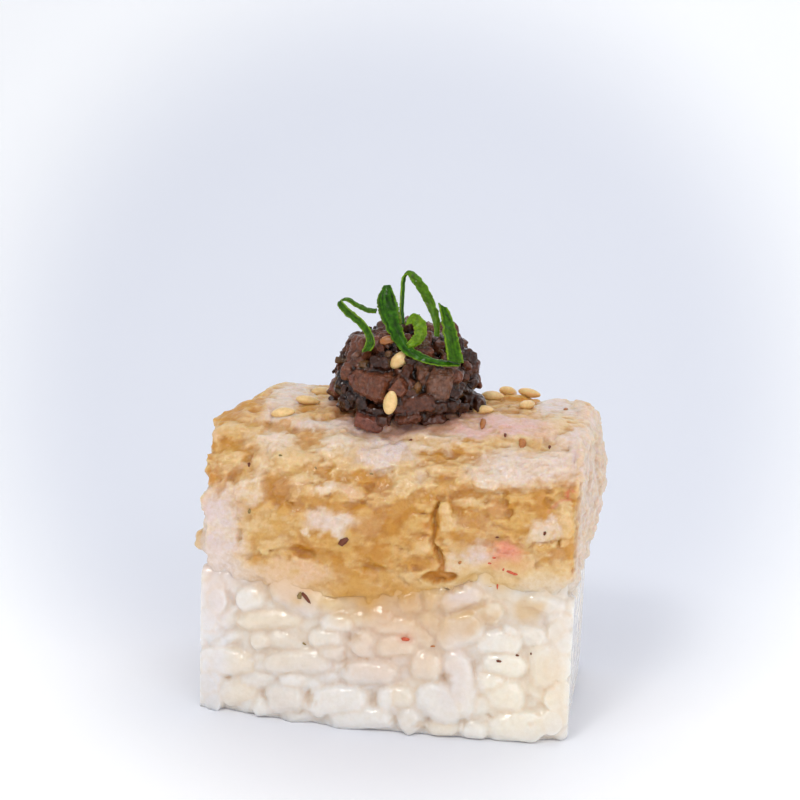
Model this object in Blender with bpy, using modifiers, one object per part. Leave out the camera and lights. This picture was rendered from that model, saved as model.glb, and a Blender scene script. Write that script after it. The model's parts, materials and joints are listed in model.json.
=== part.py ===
"""One block of pressed sushi at its real size, in metres, +Z up, with its origin under the block's middle.

A block of rice carries a layer of shrimp tempura, rounded off along its front top edge and cracked on its
front. The front has slumped forward, most at its foot. A mound of chopped simmered mushroom stands on the
layer, with five shreds of green onion on it, and sesame seeds lie on both. The front faces -Y.
"""

import math
import random

import bmesh
import bpy
import numpy as np
from mathutils import Matrix, Vector, noise

MM = 0.001

# The block
BLOCK_WIDTH = 46 * MM
BLOCK_DEPTH = 28.8 * MM
BLOCK_HEIGHT = 37.7 * MM
SEAM_HEIGHT = 17.2 * MM  # where the tempura layer lies on the rice
SEAM_WAVE = 1.5 * MM
SEAM_WAVE_LENGTH = 44 * MM
SLUMP = 3.2 * MM  # how far the middle of the front's foot stands out before its corners
SLUMP_FADE = 0.9  # how much of that is gone at the top
GAP = 0.3 * MM  # between pieces that touch
UP = Vector((0, 0, 1))
TINY = 1e-9

# The rice
GRAIN_LENGTH = 7.0 * MM
GRAIN_WIDTH = 3.3 * MM
GRAIN_THICKNESS = 3.0 * MM
GRAIN_SIDES = 5
GRAIN_FACE = GRAIN_THICKNESS / 2 * math.cos(math.pi / GRAIN_SIDES)  # from its middle to its flat outer side
GRAIN_SHOULDER = 1.15  # how much plumper than a ball's its two ends are
GRAIN_COVER = 19.9 * MM * MM  # the wall that one grain takes up
CORE_INSET = 1.4 * MM  # from the block's faces to the plain core
CORE_CELL = 4.6 * MM
END_ON_SHARE = 0.14  # of the grains, those that point out of the wall
STANDING_SHARE = 0.06  # those that stand on end, where the others lie
GRAIN_TURN = 0.35  # radians from lying level
GRAIN_UNEVEN = (-0.1 * MM, 0.3 * MM)  # how deep behind the wall a grain's face may lie
PANEL_HEIGHT = SEAM_HEIGHT - 1 * MM
SETTLING_STEPS = 90
PUSH_SHARE = 0.12  # of an overlap, what one step clears
TWIST_SHARE = 0.05
SIDES = (  # outward normal, direction along the wall, half the block's depth behind the wall, wall width
    ((0, -1, 0), (1, 0, 0), BLOCK_DEPTH / 2, BLOCK_WIDTH),
    ((1, 0, 0), (0, 1, 0), BLOCK_WIDTH / 2, BLOCK_DEPTH),
    ((0, 1, 0), (-1, 0, 0), BLOCK_DEPTH / 2, BLOCK_WIDTH),
    ((-1, 0, 0), (0, -1, 0), BLOCK_WIDTH / 2, BLOCK_DEPTH),
)

# The tempura layer
FRONT_ROUND = 12 * MM
BACK_ROUND = 4 * MM
SIDE_ROUND = 2 * MM
CORNER_ROUND = 1.6 * MM
LAYER_CELL = 2.2 * MM  # the size of its facets
CRAG_DEPTH = 1.0 * MM
CRAG_SIZE = 3.6 * MM
CRUMB_DEPTH = 0.55 * MM
CRUMB_SIZE = 1.6 * MM
BULGE = 1.7 * MM  # how far the prawn hangs out of the right side
BULGE_MIDDLE = (5 * MM, 30 * MM)  # along and up that side
BULGE_SPREAD = (9 * MM, 6 * MM)
CRACK_DEPTH = 1.8 * MM  # behind the plain block's front
CRACK = (  # across and up the front, from its tip down one side to the hollow and up the other side
    (6.8, 29.0), (6.1, 27.0), (5.5, 24.8), (6.1, 22.8), (6.7, 21.0), (4.8, 20.0), (4.6, 16.2),
    (9.9, 16.2), (9.5, 19.8), (7.8, 21.0), (7.5, 22.6), (6.6, 24.6), (6.8, 26.8), (7.1, 28.6),
)  # fmt: skip

# The mushroom mound
MOUND_CENTRE = Vector((-0.5, -0.5, 40.4)) * MM
MOUND_REACH = Vector((9.3, 9.1, 7.8)) * MM
MOUND_BOXY = 2.5  # 2 is an ellipsoid
CHUNK_COUNT = 47
CHUNK_SIZE = 4.4 * MM
CHUNK_DEPTH = 0.86  # of the way from the mound's middle to its surface
MOUND_CORE = 0.82
MOUND_COVERED = 1.6  # of its height in half heights, from its top down, what the chunks cover

# The seeds: across and along the top, and how far they are turned
SEED_LENGTH = 3.3 * MM
SEED_WIDTH = 1.9 * MM
SEED_THICKNESS = 1.1 * MM
SEED_SINK = 0.25 * MM  # into what it lies on
LAYER_SEEDS = (
    (-14.8, -7.4, 5), (-12.9, -2.6, 10), (-12.9, 5.9, 15), (11.2, -3.0, -28), (11.0, 11.8, 0),
    (14.4, 11.8, 5), (15.0, 3.9, 70), (-6.8, 12.4, 20), (3.6, 12.2, 110), (19.2, 8.6, 75),
)  # fmt: skip
MOUND_SEEDS = (  # seen from the front: across, up, turned. Negative depth lies on the mound's front
    ((-0.6, 39.8), -1, 80), ((0.0, 44.6), -1, 42), ((-1.8, 46.6), -1, 12),
    ((-4.2, 43.0), 1, 30), ((3.6, 44.2), 1, 120),
)  # fmt: skip

# The green shreds, in mm: width and a line of points, each with the way that the shred's width lies there
SHRED_THICKNESS = 0.5 * MM
SHRED_TIP = 0.45  # of its width, what is left at its ends
SLOT_EXTRA = 0.7  # how much wider and thicker than its shred a slot in the mound is, in mm like the shreds
SHREDS = {
    "green_shred_left": (1.5, (
        ((-4.1, -9.0, 45.6), (1, 0, 0.2)), ((-3.6, -9.1, 46.9), (1, 0, -0.2)),
        ((-4.4, -8.0, 48.2), (0.7, 0, 0.7)), ((-5.8, -6.8, 49.2), (0.6, 0, 0.8)),
        ((-7.4, -5.4, 50.0), (0.6, 0.2, 0.8)), ((-8.7, -4.0, 51.0), (0.5, 0.6, 0.6)),
        ((-8.0, -2.8, 51.3), (0.1, 0.9, 0.4)), ((-6.9, -2.2, 50.6), (0.0, 0.8, 0.6)),
        ((-5.4, -2.2, 50.0), (0.0, 0.8, 0.6)), ((-4.2, -2.6, 50.0), (0.0, 0.8, 0.6)),
    )),
    "green_shred_leaf": (2.3, (
        ((-2.7, -3.9, 53.4), (1, 0, 0.1)), ((-2.6, -4.6, 51.8), (1, 0, 0)),
        ((-2.0, -5.8, 50.3), (1, 0, 0.3)), ((-1.2, -7.2, 48.9), (0.9, 0, 0.4)),
        ((-0.2, -8.4, 47.4), (0.8, 0, 0.6)), ((1.0, -9.2, 46.2), (0.5, 0.3, 0.8)),
        ((2.7, -9.7, 45.4), (0.2, 0.6, 0.7)), ((4.4, -9.6, 44.9), (0.1, 0.8, 0.5)),
        ((6.0, -9.0, 44.7), (0.0, 0.8, 0.4)), ((7.3, -7.9, 44.6), (-0.2, 0.8, 0.4)),
    )),
    "green_shred_arch": (1.3, (
        ((-0.2, -6.0, 48.9), (0.4, 0.9, 0)), ((-0.6, -4.8, 50.3), (0.4, 0.9, 0)),
        ((-0.8, -3.6, 52.2), (0.4, 0.9, 0)), ((-0.9, -3.2, 54.0), (0.4, 0.9, 0.2)),
        ((-0.2, -3.2, 55.0), (0.5, 0.8, 0.4)), ((0.8, -3.4, 54.4), (0.8, 0.4, 0.5)),
        ((1.9, -3.7, 53.0), (0.9, 0.2, 0.4)), ((3.0, -4.3, 51.2), (0.9, 0.2, 0.3)),
        ((3.8, -5.2, 49.6), (0.9, 0.2, 0.1)), ((4.2, -6.4, 48.2), (0.9, 0.2, 0)),
    )),
    "green_shred_right": (1.9, (
        ((6.7, -8.9, 45.6), (0.9, 0.3, -0.2)), ((6.2, -7.6, 47.2), (0.9, 0.3, -0.2)),
        ((5.6, -6.2, 48.8), (0.9, 0.2, -0.3)), ((5.1, -5.2, 50.0), (0.9, 0.1, -0.4)),
        ((4.5, -4.6, 51.3), (0.9, 0, -0.4)),
    )),
    "green_shred_curl": (1.6, (
        ((0.4, -8.9, 48.2), (0.2, 0.9, 0.3)), ((0.6, -8.4, 49.2), (0.2, 0.9, 0.3)),
        ((1.2, -7.9, 49.8), (0.1, 0.9, 0.2)), ((2.0, -8.0, 49.4), (-0.1, 0.9, 0.2)),
        ((2.5, -8.5, 48.5), (-0.2, 0.9, 0.1)), ((2.4, -9.1, 47.5), (-0.2, 0.9, 0)),
    )),
}  # fmt: skip

COLOURS = {  # colour, roughness
    "rice": ((0.87, 0.83, 0.76), 0.45),
    "tempura": ((0.80, 0.60, 0.36), 0.55),
    "mushroom": ((0.12, 0.06, 0.045), 0.35),
    "green": ((0.07, 0.25, 0.03), 0.45),
}


def clear_scene():
    for old in list(bpy.data.objects):
        bpy.data.objects.remove(old)


def collection(name):
    made = bpy.data.collections.new(name)
    bpy.context.scene.collection.children.link(made)
    return made


def material(name):
    colour, roughness = COLOURS[name]
    made = bpy.data.materials.new(name)
    made.use_nodes = True
    surface = made.node_tree.nodes["Principled BSDF"]
    surface.inputs["Base Color"].default_value = (*colour, 1)
    surface.inputs["Roughness"].default_value = roughness
    return made


def object_of(name, made, where, finish):
    """A new object that holds a bmesh's shape."""
    mesh = bpy.data.meshes.new(name)
    made.to_mesh(mesh)
    made.free()
    mesh.materials.append(finish)
    obj = bpy.data.objects.new(name, mesh)
    where.objects.link(obj)
    return obj


def apply_modifiers(obj):
    """The object's mesh as its modifiers leave it."""
    bpy.context.view_layer.update()
    graph = bpy.context.evaluated_depsgraph_get()
    mesh = bpy.data.meshes.new_from_object(obj.evaluated_get(graph))
    obj.modifiers.clear()
    obj.data = mesh


def keep_outer_shell(obj):
    """Fills the hollows that a union seals and drops loose scraps: only the widest shell stays."""
    shape = bmesh.new()
    shape.from_mesh(obj.data)
    bmesh.ops.triangulate(shape, faces=shape.faces)
    unseen = set(shape.verts)
    shells = []
    while unseen:
        shell, front = set(), [next(iter(unseen))]
        while front:
            vertex = front.pop()
            if vertex in unseen:
                unseen.remove(vertex)
                shell.add(vertex)
                front += [edge.other_vert(vertex) for edge in vertex.link_edges]
        shells.append(shell)
    widest = max(shells, key=lambda shell: max(v.co.x for v in shell) - min(v.co.x for v in shell))
    scraps = [v for shell in shells if shell is not widest for v in shell]
    bmesh.ops.delete(shape, geom=scraps, context="VERTS")
    shape.to_mesh(obj.data)
    shape.free()


def fuse(body, pieces):
    """Joins every object of a collection to the body, and removes them."""
    union = body.modifiers.new("Fused", "BOOLEAN")
    union.operation = "UNION"
    union.operand_type = "COLLECTION"
    union.collection = pieces
    union.solver = "MANIFOLD"
    apply_modifiers(body)
    for piece in list(pieces.objects):
        bpy.data.objects.remove(piece)
    keep_outer_shell(body)


def cut(body, cutter):
    difference = body.modifiers.new("Cut", "BOOLEAN")
    difference.operation = "DIFFERENCE"
    difference.object = cutter
    difference.solver = "MANIFOLD"
    apply_modifiers(body)
    bpy.data.objects.remove(cutter)
    keep_outer_shell(body)


def sliced_box(low, high, cell):
    """A box whose faces are a grid of cells."""
    box = bmesh.new()
    bmesh.ops.create_cube(box, size=1)
    low, high = Vector(low), Vector(high)
    bmesh.ops.scale(box, vec=high - low, verts=box.verts)
    bmesh.ops.translate(box, vec=(low + high) / 2, verts=box.verts)
    for axis in range(3):
        normal = Vector((0, 0, 0))
        normal[axis] = 1
        count = round((high[axis] - low[axis]) / cell)
        for i in range(1, count):
            point = low.lerp(high, i / count)
            geometry = box.verts[:] + box.edges[:] + box.faces[:]
            bmesh.ops.bisect_plane(box, geom=geometry, plane_co=point, plane_no=normal)
    return box


def seam_height(x, y):
    """The wavy surface where the tempura layer lies on the rice."""
    along = SEAM_WAVE * math.sin(math.tau * (x - 2 * MM) / SEAM_WAVE_LENGTH)
    across = SEAM_WAVE / 4 * math.sin(2 * math.tau * y / SEAM_WAVE_LENGTH)
    return SEAM_HEIGHT + along + across


def slumped(point):
    """Moves a point of the plain block forward to where the slump has taken it."""
    across = min(1.0, abs(point.x) / (BLOCK_WIDTH / 2))
    deep = min(1.0, max(0.0, -point.y) / (BLOCK_DEPTH / 2))
    point.y -= SLUMP * (1 - across**3) * (1 - SLUMP_FADE * point.z / BLOCK_HEIGHT) * deep
    return point


# Rice


def spread_grains(width, height, draw):
    """Grains that lie in a wall, pushed apart until they spread evenly: place, turn and reach of each."""
    count = round(width * height / GRAIN_COVER)
    place = draw.uniform((0, 0), (width, height), (count, 2))
    turn = draw.normal(0, GRAIN_TURN, count)
    turn[draw.random(count) < STANDING_SHARE] += math.pi / 2
    reach = np.where(draw.random(count) < END_ON_SHARE, 0.0, (GRAIN_LENGTH - GRAIN_WIDTH) / 2)
    for _ in range(SETTLING_STEPS):
        axis = np.stack([np.cos(turn), np.sin(turn)], 1) * reach[:, None]
        arm = axis[:, None, :] * np.array([-1, 0, 1])[None, :, None]
        push = push_apart((place[:, None, :] + arm).reshape(-1, 2)).reshape(count, 3, 2)
        torque = (arm[..., 0] * push[..., 1] - arm[..., 1] * push[..., 0]).sum(1)
        place += PUSH_SHARE * push.sum(1)
        turn += TWIST_SHARE * torque / (reach**2 + GRAIN_WIDTH**2)
        across = np.abs(axis) + GRAIN_WIDTH / 2
        place = np.clip(place, across, np.array([width, height]) - across)
    return zip(place, turn, reach)


def push_apart(beads):
    """How far each of the round beads, three to a grain, is pushed by the beads of the other grains."""
    owner = np.arange(len(beads)) // 3
    apart = beads[:, None] - beads[None]
    distance = np.maximum(np.linalg.norm(apart, axis=2), TINY)
    bite = np.clip(GRAIN_WIDTH - distance, 0, None) * (owner[:, None] != owner[None])
    return (apart / distance[..., None] * bite[..., None]).sum(1)


def grain_mesh(finish):
    """A grain of one unit each way, with its length along Z and one of its flat sides facing -Y."""
    grain = bmesh.new()
    bmesh.ops.create_uvsphere(grain, u_segments=GRAIN_SIDES, v_segments=4, radius=0.5)
    flat_out = Matrix.Rotation(-math.pi / 2 - math.pi / GRAIN_SIDES, 3, "Z")
    bmesh.ops.rotate(grain, matrix=flat_out, verts=grain.verts)
    ends = [vertex for vertex in grain.verts if 0.2 < abs(vertex.co.z) < 0.45]
    for vertex in ends:
        vertex.co.xy *= GRAIN_SHOULDER
    mesh = bpy.data.meshes.new("grain")
    grain.to_mesh(mesh)
    grain.free()
    mesh.materials.append(finish)
    return mesh


def grain_place(wall, spot, turn, reach, draw):
    """Where a grain lies and which way it points, flush with its wall give or take a little."""
    normal, along, half_depth, width = wall
    axis = along * math.cos(turn) + UP * math.sin(turn) + normal * draw.uniform(-0.12, 0.12)
    inset = GRAIN_FACE + draw.uniform(*GRAIN_UNEVEN)
    if reach == 0:
        axis = normal + along * draw.uniform(-0.3, 0.3)
        inset = GRAIN_LENGTH / 2 + draw.uniform(*GRAIN_UNEVEN)
    axis.normalize()
    middle = normal * (half_depth - inset) + along * (spot[0] - width / 2)
    middle = slumped(middle + UP * spot[1])
    lift = min(seam_height(*(middle + axis * side).xy) for side in (-reach, 0, reach))
    half_height = abs(axis.z) * reach + 0.55 * GRAIN_WIDTH
    middle.z = min(spot[1] * lift / PANEL_HEIGHT, lift - GAP - half_height)
    middle.z = max(middle.z, half_height)
    return middle, axis


def lay_grains(where, finish):
    """The grains that show on the rice's four sides."""
    draw = np.random.default_rng(11)
    mesh = grain_mesh(finish)
    for normal, along, half_depth, width in SIDES:
        wall = (Vector(normal), Vector(along), half_depth, width)
        for spot, turn, reach in spread_grains(width, PANEL_HEIGHT, draw):
            middle, axis = grain_place(wall, spot, turn, reach, draw)
            side = axis.cross(wall[0] if reach else UP).normalized()
            turned = Matrix((side, axis.cross(side), axis)).transposed().to_4x4()
            length = GRAIN_LENGTH * draw.uniform(0.9, 1.08)
            scale = Matrix.Diagonal((GRAIN_WIDTH, GRAIN_THICKNESS, length, 1))
            grain = bpy.data.objects.new("grain", mesh)
            grain.matrix_world = Matrix.Translation(middle) @ turned @ scale
            where.objects.link(grain)


def build_rice(parts, finish):
    """A plain core with a flat underside to rest on, and the grains that show fused to it."""
    half = Vector((BLOCK_WIDTH, BLOCK_DEPTH)) / 2 - Vector((CORE_INSET, CORE_INSET))
    core = sliced_box((-half.x, -half.y, 0), (half.x, half.y, SEAM_HEIGHT), CORE_CELL)
    for vertex in core.verts:
        vertex.co = slumped(vertex.co)
        share = vertex.co.z / SEAM_HEIGHT
        vertex.co.z = share * (seam_height(*vertex.co.xy) - GAP)
    rice = object_of("rice", core, parts, finish)
    grains = collection("grains")
    lay_grains(grains, finish)
    fuse(rice, grains)
    return rice


# Tempura layer


def rounded(point, axes, centre, outward):
    """Moves a point near one edge of the box onto that edge's round, seen along the edge."""
    a, b = axes
    away = Vector(((point[a] - centre[0]) * outward[0], (point[b] - centre[1]) * outward[1]))
    if min(away) > 0:
        away *= max(away) / away.length
        point[a] = centre[0] + outward[0] * away.x
        point[b] = centre[1] + outward[1] * away.y


def layer_shape(point):
    """Where a point of the plain box lies on the layer: its edges rounded, its prawn hanging out."""
    half_width, half_depth = BLOCK_WIDTH / 2, BLOCK_DEPTH / 2
    for outward, radius in ((-1, FRONT_ROUND), (1, BACK_ROUND)):
        rounded(point, (1, 2), (outward * (half_depth - radius), BLOCK_HEIGHT - radius), (outward, 1))
    for outward in (-1, 1):
        side = outward * (half_width - SIDE_ROUND)
        rounded(point, (0, 2), (side, BLOCK_HEIGHT - SIDE_ROUND), (outward, 1))
        for other in (-1, 1):
            corner = (outward * (half_width - CORNER_ROUND), other * (half_depth - CORNER_ROUND))
            rounded(point, (0, 1), corner, (outward, other))
    if point.x > half_width - SIDE_ROUND:
        along = (point.y - BULGE_MIDDLE[0]) / BULGE_SPREAD[0]
        up = (point.z - BULGE_MIDDLE[1]) / BULGE_SPREAD[1]
        point.x += BULGE * math.exp(-along * along - up * up)
    return slumped(point)


def crag(point):
    """How far the battered surface stands out at a point."""
    coarse = noise.noise(point / CRAG_SIZE)
    fine = noise.noise(point / CRUMB_SIZE + Vector((7, 3, 1)))
    return CRAG_DEPTH * coarse + CRUMB_DEPTH * fine


def build_layer(parts, cutters, finish):
    """The layer from the seam up, with its crags and its crack."""
    half_width, half_depth = BLOCK_WIDTH / 2, BLOCK_DEPTH / 2
    low, high = (-half_width, -half_depth, SEAM_HEIGHT), (half_width, half_depth, BLOCK_HEIGHT)
    shape = sliced_box(low, high, LAYER_CELL)
    under = [vertex for vertex in shape.verts if vertex.co.z < SEAM_HEIGHT + TINY]
    for vertex in shape.verts:
        vertex.co = layer_shape(vertex.co)
    shape.normal_update()
    moves = {vertex: vertex.normal * crag(vertex.co) for vertex in shape.verts}
    for vertex, move in moves.items():
        vertex.co += move
    for vertex in under:
        vertex.co.z = seam_height(*vertex.co.xy)
    layer = object_of("shrimp_tempura", shape, parts, finish)
    cut(layer, crack_cutter(cutters, finish))
    return layer


def crack_cutter(cutters, finish):
    """A jagged blade that opens the crack in the layer's front, and the hollow at its foot."""
    blade = bmesh.new()
    front = [Vector((x * MM, -BLOCK_DEPTH, z * MM)) for x, z in CRACK]
    face = blade.faces.new([blade.verts.new(point) for point in front])
    blade.normal_update()
    made = bmesh.ops.extrude_face_region(blade, geom=[face])
    back = [item for item in made["geom"] if isinstance(item, bmesh.types.BMVert)]
    depth = BLOCK_DEPTH / 2 + CRACK_DEPTH
    bmesh.ops.translate(blade, vec=(0, depth, 0), verts=back)
    bmesh.ops.recalc_face_normals(blade, faces=blade.faces)
    bmesh.ops.triangulate(blade, faces=blade.faces)
    return object_of("crack", blade, cutters, finish)


# Seeds


def seed_object(where, finish, spot, normal, turn):
    """A sesame seed that lies flat on a surface, narrow at one end and sunk in a little."""
    seed = bmesh.new()
    bmesh.ops.create_uvsphere(seed, u_segments=6, v_segments=4, radius=0.5)
    for vertex in seed.verts:
        width = SEED_WIDTH * (1 - 0.5 * max(0.0, vertex.co.z))
        vertex.co *= Vector((width, SEED_THICKNESS, SEED_LENGTH))
    flat = Vector((math.cos(turn), math.sin(turn), math.sin(turn)))
    side = normal.cross(flat).normalized()
    turned = Matrix((side, normal, side.cross(normal))).transposed().to_4x4()
    lifted = spot + normal * (SEED_THICKNESS / 2 - SEED_SINK)
    made = object_of("seed", seed, where, finish)
    made.matrix_world = Matrix.Translation(lifted) @ turned


def sow_layer(layer, finish):
    seeds = collection("layer_seeds")
    for x, y, turn in LAYER_SEEDS:
        above = Vector((x * MM, y * MM, 2 * BLOCK_HEIGHT))
        _, spot, normal, _ = layer.ray_cast(above, Vector((0, 0, -1)))
        seed_object(seeds, finish, spot, normal, math.radians(turn))
    fuse(layer, seeds)


def sow_mound(mound, finish):
    seeds = collection("mound_seeds")
    for (x, z), side, turn in MOUND_SEEDS:
        outside = Vector((x * MM, side * BLOCK_DEPTH, z * MM))
        _, spot, normal, _ = mound.ray_cast(outside, Vector((0, -side, 0)))
        seed_object(seeds, finish, spot, normal, math.radians(turn))
    fuse(mound, seeds)


# Mushroom mound


def on_mound(direction, share=1.0):
    """The point of the boxy mound's surface in a direction, or a share of the way to it."""
    total = sum(abs(part) ** MOUND_BOXY for part in direction)
    unit = direction / total ** (1 / MOUND_BOXY)
    return MOUND_CENTRE + Vector(a * b for a, b in zip(unit, MOUND_REACH)) * share


def chunk_object(where, finish, spot, size, draw):
    """A chopped piece of mushroom: a flattish block with its corners knocked about, lying on the mound."""
    chunk = bmesh.new()
    bmesh.ops.create_icosphere(chunk, subdivisions=1, radius=0.63)
    for vertex in chunk.verts:
        vertex.co *= draw.uniform(0.85, 1.15)
    stretch = Matrix.Diagonal((size, size * draw.uniform(0.6, 0.9), size * draw.uniform(0.45, 0.7), 1))
    away = (spot - MOUND_CENTRE).normalized()
    lie = away.to_track_quat("Z", "X").to_matrix().to_4x4()
    spin = Matrix.Rotation(draw.uniform(0, math.tau), 4, "Z")
    tilt = Matrix.Rotation(draw.uniform(-0.7, 0.7), 4, "X")
    made = object_of("chunk", chunk, where, finish)
    made.matrix_world = Matrix.Translation(spot) @ lie @ spin @ tilt @ stretch


def build_mound(parts, cutters, finish, layer):
    """A core with chopped pieces all over it, cut to the layer that it stands on."""
    draw = random.Random(6)
    core = bmesh.new()
    bmesh.ops.create_icosphere(core, subdivisions=2, radius=1)
    for vertex in core.verts:
        vertex.co = on_mound(vertex.co.normalized(), MOUND_CORE)
    mound = object_of("mushroom_mound", core, parts, finish)
    chunks = collection("chunks")
    for i in range(CHUNK_COUNT):
        rise = 1 - MOUND_COVERED * (i + 0.5) / CHUNK_COUNT
        around = i * math.pi * (3 - math.sqrt(5))
        ring = math.sqrt(1 - rise * rise)
        direction = Vector((ring * math.cos(around), ring * math.sin(around), rise))
        size = CHUNK_SIZE * draw.uniform(0.75, 1.3)
        chunk_object(chunks, finish, on_mound(direction, CHUNK_DEPTH), size, draw)
    fuse(mound, chunks)
    raised = layer.copy()
    raised.data = layer.data.copy()
    raised.location.z += GAP
    cutters.objects.link(raised)
    cut(mound, raised)
    return mound


# Green shreds


def shred_surface(points, width):
    """An open strip along a line of points, split into triangles."""
    strip = bmesh.new()
    edges = []
    for i, (point, across) in enumerate(points):
        end = min(i, len(points) - 1 - i)
        half = width / 2 * (SHRED_TIP if end == 0 else 1) * Vector(across).normalized()
        middle = Vector(point)
        edges.append([strip.verts.new((middle + side * half) * MM) for side in (-1, 1)])
    for (a, b), (c, d) in zip(edges, edges[1:]):
        strip.faces.new((a, b, d, c))
    bmesh.ops.triangulate(strip, faces=strip.faces)
    return strip


def smooth_line(points):
    """The same line with a point added between each pair, on the curve through them."""
    made = []
    last = len(points) - 1
    for i in range(last):
        (p0, _), (p1, w1), (p2, w2), (p3, _) = (points[min(max(i + k, 0), last)] for k in (-1, 0, 1, 2))
        p0, p1, p2, p3 = Vector(p0), Vector(p1), Vector(p2), Vector(p3)
        middle = (p1 + p2) * 0.5625 - (p0 + p3) * 0.0625
        made += [(p1, Vector(w1)), (middle, (Vector(w1) + Vector(w2)) / 2)]
    return made + [(Vector(points[last][0]), Vector(points[last][1]))]


def build_shreds(parts, cutters, finish, mound):
    """The five shreds, each a thin wavy strip, and the slots where they lie in the mound."""
    for name, (width, points) in SHREDS.items():
        line = smooth_line(points)
        shred = object_of(name, shred_surface(line, width), parts, finish)
        slot = object_of("slot", shred_surface(line, width + SLOT_EXTRA), cutters, finish)
        for obj, thickness in ((shred, SHRED_THICKNESS), (slot, SHRED_THICKNESS + SLOT_EXTRA * MM)):
            wall = obj.modifiers.new("Thickness", "SOLIDIFY")
            wall.thickness = thickness
            wall.offset = 0
            apply_modifiers(obj)
        cut(mound, slot)


def build():
    clear_scene()
    parts, cutters = collection("pressed_sushi"), collection("cutters")
    finishes = {name: material(name) for name in COLOURS}
    build_rice(parts, finishes["rice"])
    layer = build_layer(parts, cutters, finishes["tempura"])
    mound = build_mound(parts, cutters, finishes["mushroom"], layer)
    sow_layer(layer, finishes["tempura"])
    sow_mound(mound, finishes["mushroom"])
    build_shreds(parts, cutters, finishes["green"], mound)


build()
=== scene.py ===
# %% [markdown]
# # A pressed sushi with shrimp tempura
# This lesson dresses a block of pressed sushi: rice with a layer of prawn tempura pressed on it, a spoonful of
# chopped simmered mushroom on top, shreds of green onion and toasted sesame. The plain solids are already
# made, so the first step loads them. Every piece below is built in the same frame, and most of them take the
# place of one of the solids. Sizes are in mm where nothing else is said.

# %% Load the plain solids
import json
import math
import random
from contextlib import contextmanager

import bpy
import numpy as np
from mathutils import Matrix, Quaternion, Vector, noise
from mathutils.bvhtree import BVHTree

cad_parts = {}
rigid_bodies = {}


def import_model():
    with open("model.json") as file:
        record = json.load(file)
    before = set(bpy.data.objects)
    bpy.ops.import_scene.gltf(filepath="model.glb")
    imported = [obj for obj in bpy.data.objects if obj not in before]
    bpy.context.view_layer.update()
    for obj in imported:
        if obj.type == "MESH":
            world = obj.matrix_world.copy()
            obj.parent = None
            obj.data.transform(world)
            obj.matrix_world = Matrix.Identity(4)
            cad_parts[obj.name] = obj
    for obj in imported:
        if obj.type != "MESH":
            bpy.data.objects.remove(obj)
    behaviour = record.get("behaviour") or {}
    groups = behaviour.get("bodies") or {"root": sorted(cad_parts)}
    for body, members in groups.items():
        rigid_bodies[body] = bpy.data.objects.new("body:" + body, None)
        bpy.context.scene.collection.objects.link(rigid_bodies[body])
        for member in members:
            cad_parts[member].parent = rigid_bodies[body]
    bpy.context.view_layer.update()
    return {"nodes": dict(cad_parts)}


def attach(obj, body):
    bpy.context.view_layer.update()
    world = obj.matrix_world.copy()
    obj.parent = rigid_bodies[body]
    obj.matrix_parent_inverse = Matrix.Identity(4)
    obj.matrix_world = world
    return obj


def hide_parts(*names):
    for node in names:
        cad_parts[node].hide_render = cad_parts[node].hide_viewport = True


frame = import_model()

MM = 0.001
print("solids:", sorted(frame["nodes"]))

# %% [markdown]
# ## The camera
# A long lens close to the block, a little above it and to its right. The camera is placed first, because it
# decides how large every grain of rice looks. It is turned to face the block and then rolled by two
# degrees, which `to_track_quat` and a turn about the camera's own Z axis do without any trial and error.

# %% Place the camera
CAMERA_PLACE = Vector((29.98, -181.03, 68.17)) * MM
CAMERA_TARGET = Vector((-1.26, 0, 38.36)) * MM
CAMERA_ROLL = 1.942  # degrees
CAMERA_LENS, CAMERA_SENSOR = 64.83, 36  # mm
CAMERA_NEAREST = 0.01  # m


def add_camera():
    look = (CAMERA_TARGET - CAMERA_PLACE).to_track_quat("-Z", "Y")
    roll = Quaternion((0, 0, 1), math.radians(CAMERA_ROLL))
    bpy.ops.object.camera_add(location=CAMERA_PLACE, rotation=(look @ roll).to_euler())
    camera = bpy.context.object
    camera.data.lens = CAMERA_LENS
    camera.data.sensor_width = CAMERA_SENSOR
    camera.data.clip_start = CAMERA_NEAREST
    bpy.context.scene.camera = camera
    print("camera:", round((CAMERA_TARGET - CAMERA_PLACE).length / MM, 1), "mm from its target")


add_camera()

# %% [markdown]
# ## The table sweep
# Food is often photographed on a sheet of pale paper that curves up behind it, so that no edge shows. A plane
# is added, its far edge is spun up through a quarter turn and then pulled up, which is how one makes it by
# hand. The light of the lamps at both sides, which makes the paper brighter further out, is painted into its
# material: a smooth step paints it, with a faint painted glow, in a ring that is fixed in the room.

# %% Make the sweep
SWEEP_COLOURS = ((0.83, 0.845, 0.905), (1.0, 1.0, 1.0))  # in the middle and further out
SWEEP_ANGLES = (11, 19)  # degrees, seen from one place in the room, between which one goes over into the other
SWEEP_PAINTED_GLOW = 0.07  # painted light: how much the paper glows further out, standing in for the lamps
SWEEP_SIZE, SWEEP_RISE, SWEEP_ROUND, SWEEP_STEPS = 2.4, 1.2, 0.55, 40  # m, and steps in the quarter turn
SWEEP_BACK = 0.08  # how far behind the middle the paper begins to curve up


def deselect():
    bpy.ops.object.select_all(action="DESELECT")


def only(obj):
    deselect()
    obj.select_set(True)
    bpy.context.view_layer.objects.active = obj


def start(name, add, **settings):
    """Adds a primitive with nothing else selected, names it and puts its place and turn into its mesh."""
    deselect()
    add(**settings)
    bpy.ops.object.transform_apply(location=True, rotation=True, scale=True)
    bpy.context.object.name = name
    return bpy.context.object


@contextmanager
def editing(obj):
    """Opens an object in edit mode with all its vertices selected, and closes it when its block ends."""
    only(obj)
    bpy.ops.object.mode_set(mode="EDIT")
    bpy.ops.mesh.select_mode(type="VERT")
    bpy.ops.mesh.select_all(action="SELECT")
    yield
    bpy.ops.object.mode_set(mode="OBJECT")


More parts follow.
